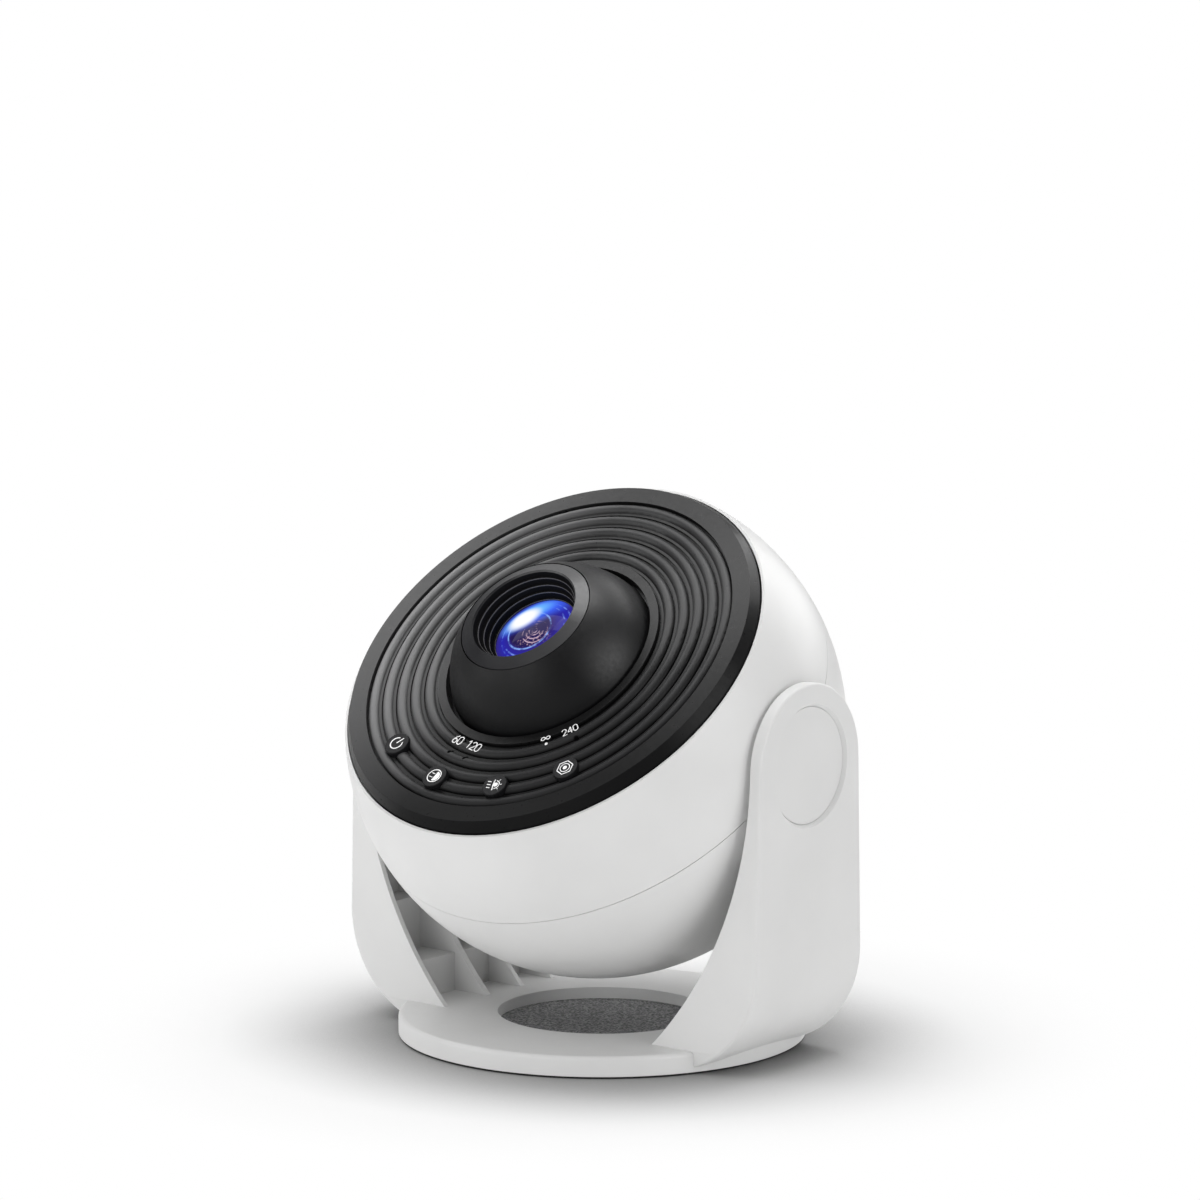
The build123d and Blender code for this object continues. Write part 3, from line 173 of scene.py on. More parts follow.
class Finish(NodeNet):
    """Material with one Principled shader, laid out by the node's own place at rest."""

    def __init__(self, name, color, roughness, metallic=0.0, specular=0.5):
        self.material = bpy.data.materials.new(name)
        self.material.use_nodes = True
        super().__init__(self.material.node_tree)
        self.shader = self.tree.nodes["Principled BSDF"]
        self.place = self.node("ShaderNodeTexCoord").outputs["Object"]
        self.color = color
        self.roughness = roughness
        self.normal = None
        self.set("Base Color", (*color, 1))
        self.set("Roughness", roughness)
        self.set("Metallic", metallic)
        self.set("Specular IOR Level", specular)

    def set(self, name, value):
        """Joins or sets one slot of the shader."""
        self.fill([self.shader.inputs[name]], [value])

    def noise(self, scale, detail=2.0, roughness=0.5, place=None):
        made = self.node("ShaderNodeTexNoise", Scale=scale, Detail=detail, Roughness=roughness)
        self.join(place or self.place, made.inputs["Vector"])
        return made.outputs["Fac"]

    def cells(self, scale, feature="F1"):
        made = self.node("ShaderNodeTexVoronoi", Scale=scale)
        made.feature = feature
        self.join(self.place, made.inputs["Vector"])
        return made.outputs["Distance"]

    def from_pivot(self):
        return self.vector("SUBTRACT", self.place, PIVOT)

    def disc_place(self):
        """Place across the lens axis, in mm."""
        made = self.node("ShaderNodeCombineXYZ")
        offset = self.from_pivot()
        self.join(self.vector("DOT_PRODUCT", offset, ACROSS / MM), made.inputs["X"])
        self.join(self.vector("DOT_PRODUCT", offset, FACE_UP / MM), made.inputs["Y"])
        return made.outputs[0]

    def axis_height(self):
        """Height along the lens axis, in mm."""
        return self.vector("DOT_PRODUCT", self.from_pivot(), LENS / MM)

    def across_disc(self, towards, between, levels=(0.0, 1.0)):
        """Level that changes across the disc in a direction, between two places in mm."""
        along = self.vector("DOT_PRODUCT", self.disc_place(), (*towards, 0))
        return self.span(along, *between, *levels)

    def tint(self, value, spread):
        """Colour that wanders by this share either way."""
        low = [c * (1 - spread) for c in self.color]
        high = [c * (1 + spread) for c in self.color]
        self.set("Base Color", self.ramp(value, (NOISE_LOW, low), (NOISE_HIGH, high)))
        return self

    def gloss(self, value, spread):
        """Roughness that wanders by this much either way."""
        low, high = self.roughness - spread, self.roughness + spread
        self.set("Roughness", self.span(value, NOISE_LOW, NOISE_HIGH, low, high))
        return self

    def bump(self, value, depth):
        """Relief of this depth in metres."""
        made = self.node("ShaderNodeBump", Strength=1.0, Distance=depth)
        self.join(value, made.inputs["Height"])
        if self.normal is not None:
            self.join(self.normal, made.inputs["Normal"])
        self.normal = made.outputs["Normal"]
        self.set("Normal", self.normal)
        return self

    def edge(self, radius):
        """Edges rounded in the shading, by a radius in metres; it comes before bump."""
        made = self.node("ShaderNodeBevel", Radius=radius)
        made.samples = BEVEL_SAMPLES
        self.normal = made.outputs[0]
        return self

    def painted_crevice_shade(self, distance, loss):
        """Painted shade: darker in its own grooves and corners, by this share at most."""
        painted_occlusion = self.node("ShaderNodeAmbientOcclusion", Distance=distance)
        painted_occlusion.only_local = True
        color = self.shader.inputs["Base Color"].links[0].from_socket
        self.set("Base Color", self.scaled(color, self.span(painted_occlusion.outputs["AO"], 0.0, 1.0, 1 - loss, 1.0)))
        return self

    def turned(self, amount):
        """Highlights drawn out by fine rings round the lens axis."""
        self.set("Anisotropic", amount)
        self.set("Anisotropic Rotation", QUARTER_TURN)
        turn = self.node("ShaderNodeVectorTransform")
        turn.vector_type, turn.convert_from, turn.convert_to = "VECTOR", "OBJECT", "WORLD"
        round_axis = self.vector("NORMALIZE", self.vector("CROSS_PRODUCT", self.from_pivot(), LENS))
        self.join(round_axis, turn.inputs[0])
        self.set("Tangent", turn.outputs[0])
        return self

    def sheen(self, towards, between, levels):
        """Specular level that changes across the disc."""
        self.set("Specular IOR Level", self.across_disc(towards, between, levels))
        return self


# ---------------------------------------------------------------- materials

# Noise scales are cells per metre.
DRIFT_SCALE = 28
GLOSS_SCALE = 900
TOOL_SCALE = 1500


def plastic(name, color, roughness, grain=2600, depth=4e-6, specular=0.5, edge=0.0):
    """Moulded plastic: spark-eroded grain, slight drift of colour and gloss."""
    made = Finish(name, color, roughness, specular=specular)
    if edge:
        made.edge(edge)
    made.tint(made.noise(DRIFT_SCALE, detail=3), spread=0.03)
    made.gloss(made.noise(GLOSS_SCALE, detail=3), spread=0.05)
    return made.bump(made.noise(grain, detail=3, roughness=0.6), depth)


def metal(name, color, roughness, lay=(1, 1, 1)):
    """Bare or plated metal with fine tool marks; lay says how closely they follow along each axis."""
    made = Finish(name, color, roughness, metallic=1.0)
    stretch = made.node("ShaderNodeMapping", Scale=lay)
    made.join(made.place, stretch.inputs["Vector"])
    marks = made.noise(TOOL_SCALE, detail=4, roughness=0.6, place=stretch.outputs["Vector"])
    return made.tint(marks, spread=0.08).gloss(marks, spread=0.08).bump(marks, depth=2e-6)


def stand_white():
    """Satin white, with a little painted shade between the stand's ribs."""
    made = plastic("white_stand", (0.80, 0.80, 0.795), 0.42, edge=2.5e-4)
    return made.painted_crevice_shade(distance=0.012, loss=0.3)


def shell_white():
    """White with more gloss, and painted shade in the ball's fine grooves."""
    made = plastic("white_shell", (0.82, 0.82, 0.815), 0.36, edge=1e-4)
    return made.painted_crevice_shade(distance=0.0015, loss=0.75)


# Front disc, in mm: how high its ridges stand, and the radii between which they run.
RIDGE_HEIGHT = 0.95
RIDGES_START = 32.1
RIDGES_END = 52.9
RIDGES_SOFT = 0.3
# Painted light: the disc's colour runs from dark at the right to pale at the left.
DISC_DARK = (0.017, 0.017, 0.0175)
DISC_PAINTED_LIGHT = (0.165, 0.165, 0.167)
# Shares of the colour: painted shade in the grooves and on the flat land, painted highlight on the ridge
# crowns.
GROOVE_SHADE, CROWN_PAINTED_LIGHT, LAND_SHADE = 0.5, 1.7, 0.45


def disc_charcoal():
    """Charcoal of the front disc with painted light and shade: paler leftward, lighter on the ridge crowns,
    darker in its grooves and on the flat land round them.
    """
    made = plastic("charcoal_disc", DISC_DARK, 0.32, grain=3200, depth=3e-6, edge=1.2e-4)
    # Painted light: the colour turns paler towards the left.
    leftward = made.across_disc(towards=(-1, 0.1), between=(10, 58))
    painted_left_light = made.ramp(leftward, (0.0, DISC_DARK), (1.0, DISC_PAINTED_LIGHT))
    ridged = made.band(made.vector("LENGTH", made.disc_place()), RIDGES_START, RIDGES_END, RIDGES_SOFT)
    # Painted highlight on the ridge crowns and painted shade in the grooves.
    painted_crown_light = made.span(made.axis_height(), DISC_FACE - RIDGE_HEIGHT, DISC_FACE, GROOVE_SHADE, CROWN_PAINTED_LIGHT)
    land = made.math("SUBTRACT", 1.0, ridged)
    shade = made.math("ADD", made.math("MULTIPLY", ridged, painted_crown_light), made.math("MULTIPLY", land, LAND_SHADE))
    made.set("Base Color", made.scaled(painted_left_light, shade))
    made.turned(0.85).painted_crevice_shade(distance=0.0016, loss=0.6)
    return made.sheen(towards=(-0.35, 0.94), between=(-50, 15), levels=(0.06, 0.32))


def key_charcoal():
    """Dull charcoal of the buttons."""
    return plastic("charcoal_keys", (0.01, 0.01, 0.011), 0.42, specular=0.14, edge=1.5e-4)


def dome_black():
    """Satin black that shines most on the dome's upper side."""
    made = plastic("satin_black_dome", (0.005, 0.005, 0.0055), 0.42, grain=3600, depth=1.5e-6)
    return made.sheen(towards=(0.2, 0.98), between=(-8, 24), levels=(0.2, 1.0))


# Lens barrel, in mm: radius of its mouth, and the width and height of the baffle steps in it.
BARREL_MOUTH = 14.7
MOUTH_BORDER = (BARREL_MOUTH + 0.05, BARREL_MOUTH + 0.1)
STEP_WIDTH = 0.72
STEP_HEIGHT = 2.0
EDGE_HIGHLIGHT_SPAN = (0.07, 0.2)  # span of the painted highlight, in steps from a step's edge
BARREL_BLACK = (0.016, 0.016, 0.018)
BAFFLE_BLACK = (0.011, 0.011, 0.012)
# Colour of the painted highlight on the baffle steps' edges.
BAFFLE_PAINTED_HIGHLIGHT = (0.16, 0.155, 0.16)


def barrel_black():
    """Black with a sheen on the rim, and inside dull with a painted highlight along the edge of each baffle
    step.
    """
    made = plastic("barrel_black", BARREL_BLACK, 0.38, edge=1e-4).turned(0.8)
    reach = made.vector("LENGTH", made.disc_place())
    inside = made.fade(reach, *MOUTH_BORDER)
    steps_in = made.span(reach, BARREL_MOUTH, BARREL_MOUTH - STEP_WIDTH, clamp=False)
    steps_down = made.span(made.axis_height(), BARREL_FRONT, BARREL_FRONT - STEP_HEIGHT, clamp=False)
    to_edge = made.math("ABSOLUTE", made.math("SUBTRACT", steps_in, steps_down))
    # Painted highlight along each step's edge, inside the mouth only.
    painted_edge_highlight = made.math("MULTIPLY", made.fade(to_edge, *EDGE_HIGHLIGHT_SPAN), inside)
    plain = made.mix(inside, BARREL_BLACK, BAFFLE_BLACK)
    made.set("Base Color", made.mix(painted_edge_highlight, plain, BAFFLE_PAINTED_HIGHLIGHT))
    rim_sheen = made.across_disc(towards=(0.75, 0.66), between=(-14, 15), levels=(0.1, 0.85))
    outside = made.math("SUBTRACT", 1.0, inside)
    made.set("Specular IOR Level", made.math("MULTIPLY", rim_sheen, outside))
    return made


def foot_rubber():
    made = Finish("foot_rubber", (0.018, 0.018, 0.018), 0.75)
    return made.tint(made.noise(400), spread=0.2).bump(made.noise(1800, detail=4), depth=2e-5)


def pad_grain():
    """Dark pad with grey and pale speckles that stand up."""
    made = Finish("pad_grain", (0.17, 0.17, 0.173), 0.85, specular=0.3)
    speckle = made.noise(1500, detail=4, roughness=0.7)
    made.set("Base Color", made.ramp(speckle, (0.36, (0.08, 0.08, 0.082)), (0.5, (0.22, 0.22, 0.223)),
                                     (0.66, (0.48, 0.48, 0.485))))
    return made.bump(speckle, depth=1.2e-4)


def smoked_window():
    made = Finish("smoked_window", (0.004, 0.004, 0.005), 0.12)
    return made.tint(made.noise(300), spread=0.2)


def green_board():
    """Solder mask with a web of paler tracks."""
    made = Finish("green_board", (0.012, 0.09, 0.035), 0.28)
    tracks = made.cells(520, "DISTANCE_TO_EDGE")
    made.set("Base Color", made.ramp(made.span(tracks, 0.02, 0.06), (0.0, (0.03, 0.16, 0.06)),
                                     (1.0, (0.01, 0.075, 0.03))))
    return made.bump(tracks, depth=1e-5)


def clear_glass():
    made = Finish("clear_glass", (0.95, 0.97, 1.0), 0.02)
    made.set("Transmission Weight", 1.0)
    made.set("IOR", 1.5)
    return made.tint(made.noise(60), spread=0.01)


# Painted light pattern of the front lens, in mm on its face.
LENS_RADIUS = 11.8
LENS_PAINTED_GLOW = ((0.0, (0.016, 0.008, 0.05)), (0.42, (0.03, 0.014, 0.13)), (0.62, (0.026, 0.018, 0.28)),
             (0.82, (0.022, 0.02, 0.4)), (1.0, (0.03, 0.02, 0.2)))
# Patches of painted light, a dark middle and a blue and a cyan painted highlight: middle, half sizes, turn in
# degrees, softness, colour.
LENS_PAINTED_PATCHES = (
    ((-1.2, -0.4), (6.0, 6.0), 0, 0.12, (0.017, 0.009, 0.07)),
    ((-3.4, 6.0), (8.6, 4.4), 47, 0.5, (0.05, 0.13, 0.95)),
    ((-5.2, 4.6), (6.6, 3.2), 50, 0.5, (0.16, 0.5, 1.0)),
)
# Painted white flare: middle, half sizes, turn in degrees, softness.
PAINTED_FLARE = ((-5.3, 3.3), (4.4, 3.3), 48, 0.4)
WHITE = (1.0, 1.0, 1.0)
# Painted speckles of light: their patch, cells per metre, the span over which a dot fades, and the cloud's
# span that thins them out.
PAINTED_SPECKLE_PATCH = ((1.5, -1.9), (4.6, 3.2), 28, 0.45)
SPECKLE_SCALE, SPECKLE_SIZE, SPECKLE_BREAKS = 1500, (0.12, 0.5), (0.42, 0.62)
SPECKLE_PINK = (0.75, 0.5, 0.56)
CLOUD_SCALE = 260
DOTTED_PINK, RING_BLUE, RIM_BLUE = (0.6, 0.42, 0.55), (0.26, 0.46, 1.0), (0.2, 0.34, 1.0)
# Painted rings of light: middle, radius, width, the cloud's span that breaks them up, least share, colour.
LENS_PAINTED_RINGS = (
    ((1.0, -0.6), 0.75, 0.22, (0.4, 0.6), 0.0, DOTTED_PINK),
    ((1.0, -0.7), 1.5, 0.2, (0.4, 0.6), 0.0, DOTTED_PINK),
    ((1.1, -0.8), 2.5, 0.24, (0.4, 0.6), 0.0, DOTTED_PINK),
    ((1.2, -0.9), 3.6, 0.22, (0.4, 0.6), 0.0, DOTTED_PINK),
    ((-1.2, -0.5), 6.3, 0.34, (0.44, 0.6), 0.05, RING_BLUE),
    ((0.2, 0.2), 10.0, 0.3, (0.42, 0.6), 0.0, RIM_BLUE),
    ((-0.3, 0.1), 8.8, 0.3, (0.46, 0.62), 0.0, RIM_BLUE),
)


def coated_glass():
    """Front lens with painted light: a blue glow, a speckled middle and rings stand for the lamp and lens
    edges seen through it, and a white flare with cyan patches is a painted highlight.
    """
    made = Finish("coated_glass", (0.004, 0.004, 0.02), 0.03, specular=0.08)
    made.tint(made.noise(60), spread=0.1)
    place = made.disc_place()
    glow = made.ramp(made.span(made.vector("LENGTH", place), 0, LENS_RADIUS), *LENS_PAINTED_GLOW)
    cloud = made.noise(CLOUD_SCALE, detail=4, roughness=0.65)
    for *patch, color in LENS_PAINTED_PATCHES:
        glow = made.mix(made.blot(place, *patch), glow, color)
    specks = made.span(made.cells(SPECKLE_SCALE), *SPECKLE_SIZE, 1.0, 0.0)
    thinned = made.math("MULTIPLY", specks, made.span(cloud, *SPECKLE_BREAKS))
    speckled = made.math("MULTIPLY", thinned, made.blot(place, *PAINTED_SPECKLE_PATCH))
    glow = made.mix(speckled, glow, SPECKLE_PINK)
    for middle, radius, width, breaks, least, color in LENS_PAINTED_RINGS:
        broken = made.span(cloud, *breaks, least, 1.0)
        ring = made.math("MULTIPLY", made.hoop(place, middle, radius, width), broken)
        glow = made.mix(ring, glow, color)
    # The painted glow and highlight are given off by the lens face itself.
    made.set("Emission Color", made.mix(made.blot(place, *PAINTED_FLARE), glow, WHITE))
    made.set("Emission Strength", 1.0)
    return made


def star_film():
    """Dark film with small pale stars."""
    made = Finish("star_film", (0.02, 0.02, 0.03), 0.15)
    stars = made.span(made.cells(900), 0.0, 0.12)
    made.set("Base Color", made.ramp(stars, (0.0, (0.9, 0.9, 1.0)), (0.9, (0.012, 0.012, 0.03))))
    return made


def white_ink():
    """Ink of the signs, with a faint painted glow that lifts it towards white."""
    made = Finish("white_ink", (0.86, 0.86, 0.86), 0.5)
    # Painted glow: the ink gives off light of its own.
    made.set("Emission Color", (*WHITE, 1))
    made.set("Emission Strength", 0.2)
    return made.tint(made.noise(900), spread=0.04)


charcoal = disc_charcoal()
ink = white_ink()
LOOKS = {
    stand_white(): ["stand_base", "left_arm", "right_arm", "base_cover", "left_pivot_cap", "right_pivot_cap"],
    shell_white(): ["front_shell", "rear_shell"],
    charcoal: ["bezel"],
    key_charcoal(): ["button_power", "button_contrast", "button_rays", "button_timer"],
    dome_black(): ["focus_ring"],
    barrel_black(): ["lens_tube"],
    plastic("inner_black", (0.02, 0.02, 0.02), 0.6): [
        "chassis", "lamp_housing", "tact_switches", "lens_spacer", "lens_lock_ring", "film_clip",
        "condenser_clip"],
    plastic("natural_nylon", (0.62, 0.6, 0.53), 0.45): [
        "left_pivot_bush", "right_pivot_bush", "motor_pinion", "film_carrier"],
    plastic("white_solder_mask", (0.8, 0.8, 0.78), 0.3): ["led_board"],
    foot_rubber(): ["foot_pad"],
    pad_grain(): ["centre_pad"],
    smoked_window(): ["indicator_windows"],
    metal("plated_steel", (0.56, 0.56, 0.57), 0.28): [
        "base_screws", "left_pivot_bolt", "right_pivot_bolt", "ballast_ring", "power_inlet",
        "chassis_screws", "bezel_screws", "lamp_screws", "heat_sink_screws", "main_board_screws",
        "left_pivot_washer", "right_pivot_washer"],
    metal("motor_can", (0.5, 0.5, 0.51), 0.34, lay=(1, 8, 8)): ["gear_motor"],
    metal("sink_aluminium", (0.68, 0.68, 0.7), 0.36, lay=(1, 10, 10)): ["heat_sink"],
    green_board(): ["button_board", "main_board"],
    clear_glass(): ["rear_lens", "condenser_lens"],
    coated_glass(): ["front_lens"],
    star_film(): ["film_disc"],
}
for look, names in LOOKS.items():
    for name in names:
        nodes[name].data.materials.clear()
        nodes[name].data.materials.append(look.material)


# ---------------------------------------------------------------- raised signs

# All in mm; angles in degrees.
PRINT_LIFT = 0.04  # how far a sign's top stands above the face
PRINT_SINK = 0.02  # how far its feet go into the surface below
PRINT_STEP = 0.2  # from one station of a line to the next
PROBE_HEIGHT = 60  # where the rays start that find the surface below
# Section of a line: place across it in half widths, and whether the point is on top.
SECTION = ((-1, False), (-1, True), (0, True), (1, True), (1, False))
SECTION_TOPS = (1, 2)
ROUND_END = (0.5, 1.0, 1.35)  # radians round a line's end, at which it gets a section
# A line's far end stays square, because it is closed inside the line, on from the station at this place
# counted from its last.
TUCKED = 4


def skin_of(name):
    mesh = nodes[name].data
    return BVHTree.FromPolygons([v.co for v in mesh.vertices], [p.vertices for p in mesh.polygons])


def stations_along(path, closed):
    """Stations of a line along a path: place, direction across it, and share of its width."""
    points = [path[0]]
    for start, end in zip(path, path[1:] + path[:1] if closed else path[1:]):
        count = max(1, round((end - start).length / PRINT_STEP))
        points += [start.lerp(end, (i + 1) / count) for i in range(count)]
    if closed:
        points.pop()
    last = len(points) - 1
    made = []
    for i, here in enumerate(points):
        before = points[i - 1] if i or closed else here
        after = points[(i + 1) % len(points)] if i < last or closed else here
        lane = (after - before).normalized()
        made.append((here, Vector((-lane.y, lane.x)), 1.0))
    return made


def narrowing(station, half, out):
    """Stations that narrow to a round end, on from one station of a line."""
    middle, side, _ = station
    return [(middle + out * half * sin(t), side, cos(t)) for t in ROUND_END]


def with_ends(stations, half):
    """Open line's stations with those of its round start and of its square end added."""
    start, second, beside, end = (stations[i][0] for i in (0, 1, -2, -1))
    stations = narrowing(stations[0], half, (start - second).normalized())[::-1] + stations
    return stations + narrowing(stations[-TUCKED], half, (end - beside).normalized())


class Print:
    """Raised sign with a white top on the front disc or a button; its feet reach the surface below."""

    def __init__(self, name, skin, body, radius, angle, size, top):
        self.name, self.skin, self.body, self.size, self.top = name, skin, body, size, top
        turn = radians(angle)
        self.centre = Vector((cos(turn), sin(turn))) * radius
        self.up = -self.centre.normalized()
        self.right = Vector((self.up.y, -self.up.x))
        self.points, self.faces, self.slots = [], [], []

    def put(self, place, high):
        """Vertex at a local place, on the sign's top or just under the surface below it."""
        flat = self.centre + self.right * place.x + self.up * place.y
        if high:
            point = face_point(flat.x, flat.y, self.top + PRINT_LIFT)
        else:
            hit = self.skin.ray_cast(face_point(flat.x, flat.y, PROBE_HEIGHT), -LENS)[0]
            point = hit - LENS * PRINT_SINK * MM
        self.points.append(point)
        return len(self.points) - 1

    def face(self, corners, white=False):
        self.faces.append(tuple(corners))
        self.slots.append(0 if white else 1)

    def line(self, path, width, closed=False):
        """Line of ink along a path of local points; an open one has a round start and a square end."""
        half = width / 2
        stations = stations_along([Vector(point) * self.size for point in path], closed)
        if not closed:
            stations = with_ends(stations, half)
        rows = [[self.put(middle + side * (half * share * across), high) for across, high in SECTION]
                for middle, side, share in stations]
        for one, two in zip(rows, rows[1:] + rows[:1] if closed else rows[1:]):
            for j in range(len(SECTION)):
                k = (j + 1) % len(SECTION)
                self.face((one[j], one[k], two[k], two[j]), white=j in SECTION_TOPS)
        if not closed:
            self.face(rows[0])
            self.face(reversed(rows[-1]))

    def patch(self, outline):
        """Filled patch of ink inside a local outline that its middle can see."""
        outline = [Vector(point) * self.size for point in outline]
        middle = sum(outline, Vector((0, 0))) / len(outline)
        foot = [self.put(point, False) for point in outline]
        rim = [self.put(point, True) for point in outline]
        tip = self.put(middle, True)
        under = self.put(middle, False)
        for j in range(len(outline)):
            k = (j + 1) % len(outline)
            self.face((foot[j], foot[k], rim[k], rim[j]))
            self.face((rim[j], rim[k], tip), white=True)
            self.face((foot[k], foot[j], under))

    def finish(self):
        """Makes the sign and lets it ride on its body."""
        mesh = bpy.data.meshes.new(self.name)
        mesh.from_pydata(self.points, [], self.faces)
        for look_used in (ink, charcoal):
            mesh.materials.append(look_used.material)
        mesh.polygons.foreach_set("material_index", self.slots)
        made = bpy.data.objects.new(self.name, mesh)
        bpy.context.scene.collection.objects.link(made)
        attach(made, self.body)


def arc(x, y, radius, first, last, count):
    """Points of an arc in this many steps."""
    angles = [radians(first + (last - first) * i / count) for i in range(count + 1)]
    return [(x + radius * cos(a), y + radius * sin(a)) for a in angles]


def circle(x, y, radius, count):
    """Corners of a closed circle."""
    return arc(x, y, radius, 0, 360 * (count - 1) / count, count - 1)


# Strokes of each digit, in shares of its height.
DIGITS = {
    "0": [arc(0, 0.22, 0.28, 0, 180, 8) + arc(0, -0.22, 0.28, 180, 360, 8) + [(0.28, 0.22)]],
    "1": [[(-0.16, 0.32), (0.06, 0.5), (0.06, -0.5)]],
    "2": [arc(0, 0.22, 0.28, 160, -30, 9) + [(-0.28, -0.5), (0.3, -0.5)]],
    "4": [[(0.14, -0.5), (0.14, 0.5), (-0.3, -0.2), (0.32, -0.2)]],
    "6": [[(0.2, 0.5), (-0.06, 0.28)] + arc(0, -0.22, 0.28, 150, 510, 14)],
}

disc_skin = skin_of("bezel")


def disc_print(name, radius, angle, size=1.0):
    return Print(name, disc_skin, "head", radius, angle, size, DISC_FACE)


def number(name, text, radius, angle, height, pitch, width):
    """Plain number whose feet face away from the lens."""
    made = disc_print(name, radius, angle, height)
    start = -(len(text) - 1) / 2 * pitch
    for i, digit in enumerate(text):
        if digit == " ":
            continue
        for path in DIGITS[digit]:
            made.line([(x + (start + i * pitch) / height, y) for x, y in path], width)
    made.finish()


def endless_sign():
    """Lying eight, after a lemniscate."""
    made = disc_print("sign_endless", 32.5, -59.8)
    turns = [2 * pi * i / 40 for i in range(40)]
    made.line([(1.25 * cos(t) / (1 + sin(t) ** 2), 1.5 * sin(t) * cos(t) / (1 + sin(t) ** 2)) for t in turns],
              0.3, closed=True)
    made.finish()


def lit_dot():
    """Lit dot below the lying eight."""
    made = disc_print("lamp_lit", 34.6, -59.5)
    made.patch(circle(0, 0, 0.45, 20))
    made.finish()


def draw_power(made):
    """Broken ring with an upright stroke."""
    made.line(arc(0, 0, 1.35, 125, 415, 30), 0.34)
    made.line([(0, 0.1), (0, 1.75)], 0.34)


def draw_contrast(made):
    """Ring, white in its right half, with two short lines in the left."""
    made.line(circle(0, 0, 1.5, 40), 0.28, closed=True)
    made.patch(arc(0.12, 0, 1.15, -90, 90, 16))
    for y in (0.45, -0.45):
        made.line([(-0.9, y), (-0.15, y)], 0.24)


def draw_rays(made):
    """Lens with a lit dot, three long lines on its left and three short ones on its right."""
    made.line([(-0.1, -1.3), (-0.25, 0), (-0.1, 1.3)], 0.3)
    made.line(arc(0.1, 0, 1.0, -80, 80, 14), 0.26)
    made.patch(circle(0.3, 0, 0.5, 20))
    for turn in (-50, 0, 50):
        a = radians(turn)
        made.line([(0.1 + 1.3 * cos(a), 1.3 * sin(a)), (0.1 + 1.6 * cos(a), 1.6 * sin(a))], 0.22)
    for y in (-0.75, 0, 0.75):
        made.line([(-1.6, y + 0.2), (-0.8, y)], 0.26)


def draw_timer(made):
    """Ring and dot in a hexagon."""
    made.line(circle(0, 0, 1.7, 6), 0.26, closed=True)
    made.line(circle(0, 0, 1.0, 24), 0.24, closed=True)
    made.patch(circle(0, 0, 0.45, 20))


number("number_60_120", "60 120", radius=34.0, angle=-102.0, height=2.5, pitch=1.75, width=0.29)
number("number_240", "240", radius=33.0, angle=-47.6, height=2.2, pitch=1.6, width=0.28)
endless_sign()
lit_dot()

BUTTON_CIRCLE = 46.7
BUTTON_PITCH = 25.1
SIGN_SIZE = 1.35
SIGNS = {"power": draw_power, "contrast": draw_contrast, "rays": draw_rays, "timer": draw_timer}
for place, (title, draw) in enumerate(SIGNS.items()):
    button = "button_" + title
    angle = -90 + (place - (len(SIGNS) - 1) / 2) * BUTTON_PITCH
    button_sign = Print("sign_" + title, skin_of(button), button, BUTTON_CIRCLE, angle, SIGN_SIZE, BUTTON_TOP)
    draw(button_sign)
    button_sign.finish()


# ---------------------------------------------------------------- stage

FLOOR_HALF = 12.0
FLOOR_GREY = (0.86, 0.86, 0.86)
PAINTED_SHADE_REACH = 0.065  # how far the painted contact shade darkens the floor beside the part
SHADED_TO, PLAIN_FROM = 0.055, 0.15  # radii between which the floor turns into plain white


def studio_floor():
    """Pale floor with the lamps' shadow and a painted contact shade close to the part, and plain white round
    it.
    """
    h = FLOOR_HALF
    mesh = bpy.data.meshes.new("floor")
    mesh.from_pydata([(-h, -h, 0), (h, -h, 0), (h, h, 0), (-h, h, 0)], [], [(0, 1, 2, 3)])
    made = bpy.data.objects.new("floor", mesh)
    bpy.context.scene.collection.objects.link(made)
    material = bpy.data.materials.new("pale_floor")
    material.use_nodes = True
    material.node_tree.nodes.clear()
    net = NodeNet(material.node_tree)
    out = net.node("ShaderNodeOutputMaterial")
    seen = net.node("ShaderNodeLightPath").outputs["Is Camera Ray"]
    # Painted contact shade: seen from the camera, the floor's colour darkens where the part shuts it in.
    painted_occlusion = net.node("ShaderNodeAmbientOcclusion", Color=(*FLOOR_GREY, 1), Distance=PAINTED_SHADE_REACH)
    paint = net.node("ShaderNodeBsdfDiffuse")
    net.join(net.mix(seen, FLOOR_GREY, painted_occlusion.outputs["Color"]), paint.inputs["Color"])
    plain = net.node("ShaderNodeEmission", Strength=1.0)
    reach = net.vector("LENGTH", net.node("ShaderNodeTexCoord").outputs["Object"])
    far = net.span(reach, SHADED_TO, PLAIN_FROM, smooth=True)
    both = net.node("ShaderNodeMixShader")
    net.fill(both.inputs, (net.math("MULTIPLY", far, seen), paint.outputs[0], plain.outputs[0]))
    net.join(both.outputs[0], out.inputs["Surface"])
    mesh.materials.append(material)


# Stops of the sky's colour by height, and its strength for each kind of ray.
HORIZON, OVERHEAD = (0.15, (1, 1, 1)), (0.6, (0.35, 0.35, 0.36))
SKY_LEVELS = {"Is Camera Ray": 1.0, "Is Transmission Ray": 1.0, "Is Glossy Ray": 0.45, "Is Diffuse Ray": 0.03}


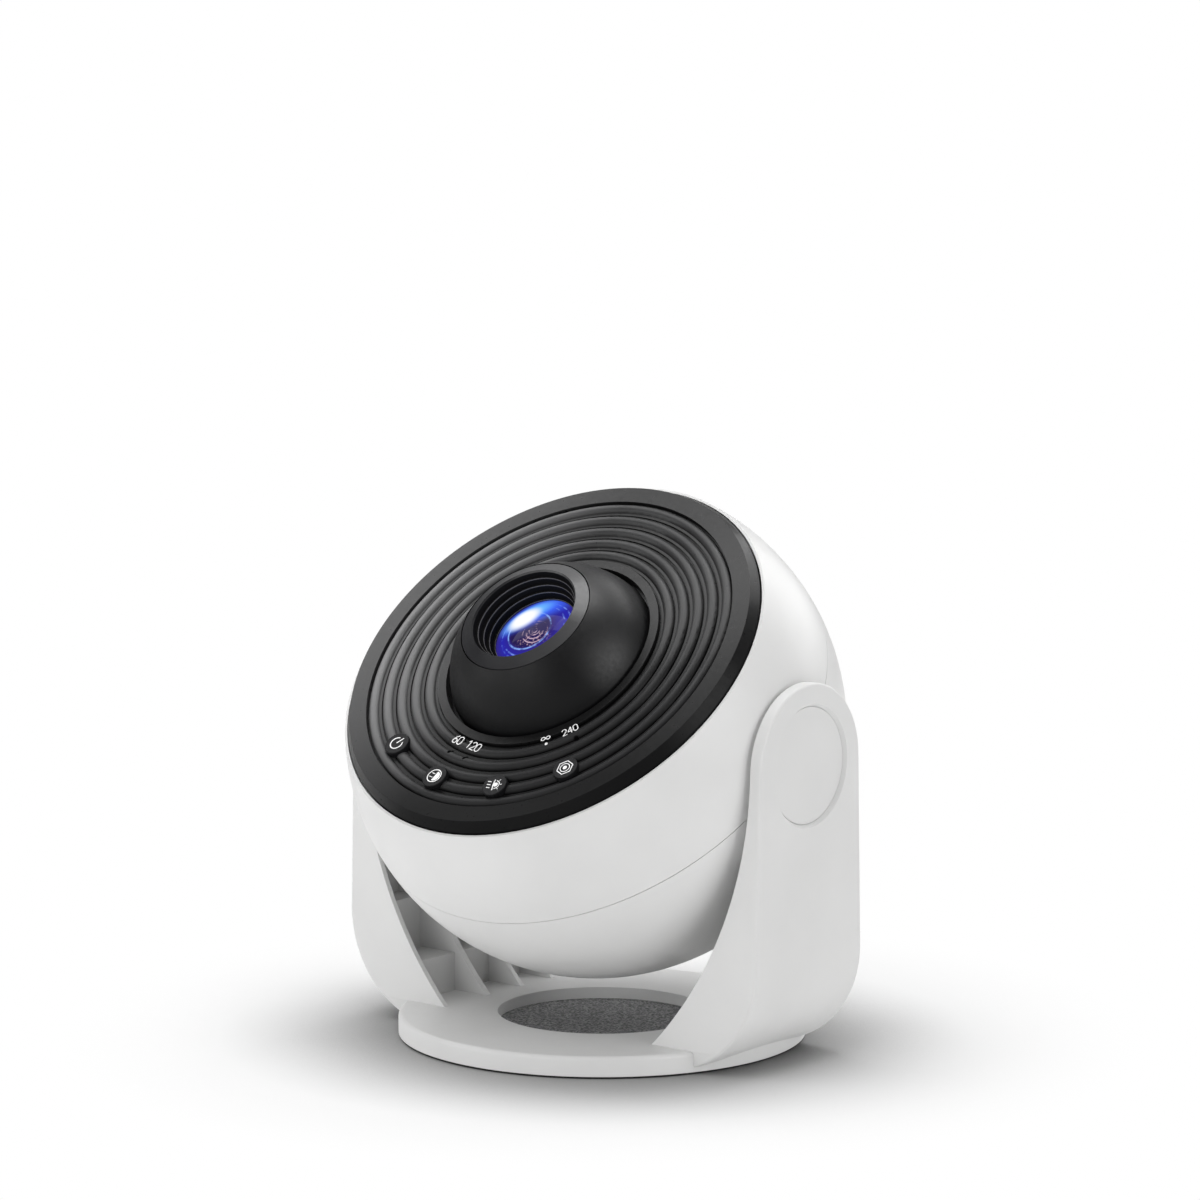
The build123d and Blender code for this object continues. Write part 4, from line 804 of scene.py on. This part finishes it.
def sky():
    """White near the horizon and dimmer overhead, at a level of its own for each kind of ray."""
    world = bpy.data.worlds.new("studio")
    bpy.context.scene.world = world
    world.use_nodes = True
    world.node_tree.nodes.clear()
    net = NodeNet(world.node_tree)
    out = net.node("ShaderNodeOutputWorld")
    glow = net.node("ShaderNodeBackground")
    split = net.node("ShaderNodeSeparateXYZ")
    net.join(net.node("ShaderNodeTexCoord").outputs["Generated"], split.inputs[0])
    net.join(net.ramp(split.outputs["Z"], HORIZON, OVERHEAD), glow.inputs["Color"])
    rays = net.node("ShaderNodeLightPath").outputs
    levels = [net.math("MULTIPLY", rays[kind], level) for kind, level in SKY_LEVELS.items()]
    net.join(reduce(lambda one, two: net.math("MAXIMUM", one, two), levels), glow.inputs["Strength"])
    net.join(glow.outputs[0], out.inputs["Surface"])


# Lamps: place, side, power in watts.
LAMP_TARGET = Vector((0, 0, 0.06))
LAMPS = {
    "overhead": ((0, 0.15, 1.1), 0.7, 5.8),
    "upper_left": ((-0.6, 0.1, 0.9), 0.7, 3.6),
    "upper_front": ((0, -0.6, 0.95), 0.7, 1.3),
    "front_left": ((-0.8, -0.9, 0.35), 0.8, 3.7),
    "front": ((0, -1.2, 0.3), 0.8, 3.8),
    "right": ((1.1, 0, 0.35), 0.8, 5.2),
    "behind": ((0.1, 1.1, 0.6), 0.8, 4.2),
}


def softbox(name, place, side, power):
    """Square lamp aimed at the part's middle."""
    light = bpy.data.lights.new(name, "AREA")
    light.shape = "SQUARE"
    light.size = side
    light.energy = power
    made = bpy.data.objects.new(name, light)
    bpy.context.scene.collection.objects.link(made)
    made.location = place
    made.rotation_euler = (LAMP_TARGET - Vector(place)).to_track_quat("-Z", "Y").to_euler()


studio_floor()
sky()
for name, lamp in LAMPS.items():
    softbox(name, *lamp)

# ---------------------------------------------------------------- camera

# Fitted to the photograph: the direction from the part, the point it turns about, and its aim off that point.
CAMERA_AZIMUTH, CAMERA_ELEVATION = radians(38.38), radians(10.23)
CAMERA_DISTANCE, CAMERA_AIM = 1.5736, Vector((0, 0, 0.0809))
CAMERA_PITCH, CAMERA_YAW = radians(1.34), radians(-0.02)
FOCAL_PIXELS = 5863.5
PHOTO_PIXELS = 1200
SENSOR = 36.0
CLIP_NEAR, CLIP_FAR = 0.05, 60


def photo_camera():
    """Camera at the photograph's viewing angle."""
    away = Vector((sin(CAMERA_AZIMUTH) * cos(CAMERA_ELEVATION), -cos(CAMERA_AZIMUTH) * cos(CAMERA_ELEVATION),
                   sin(CAMERA_ELEVATION)))
    level_right = (-away).cross(Vector((0, 0, 1))).normalized()
    level_up = level_right.cross(-away)
    level_sight = -away * cos(CAMERA_YAW) + level_right * sin(CAMERA_YAW)
    sight = level_sight * cos(CAMERA_PITCH) + level_up * sin(CAMERA_PITCH)
    lens = bpy.data.cameras.new("camera")
    lens.sensor_width = SENSOR
    lens.lens = FOCAL_PIXELS / PHOTO_PIXELS * SENSOR
    lens.clip_start, lens.clip_end = CLIP_NEAR, CLIP_FAR
    made = bpy.data.objects.new("camera", lens)
    bpy.context.scene.collection.objects.link(made)
    made.location = CAMERA_AIM + away * CAMERA_DISTANCE
    made.rotation_mode = "QUATERNION"
    made.rotation_quaternion = sight.to_track_quat("-Z", "Y")
    bpy.context.scene.camera = made


photo_camera()
bpy.context.scene.view_settings.view_transform = "Standard"
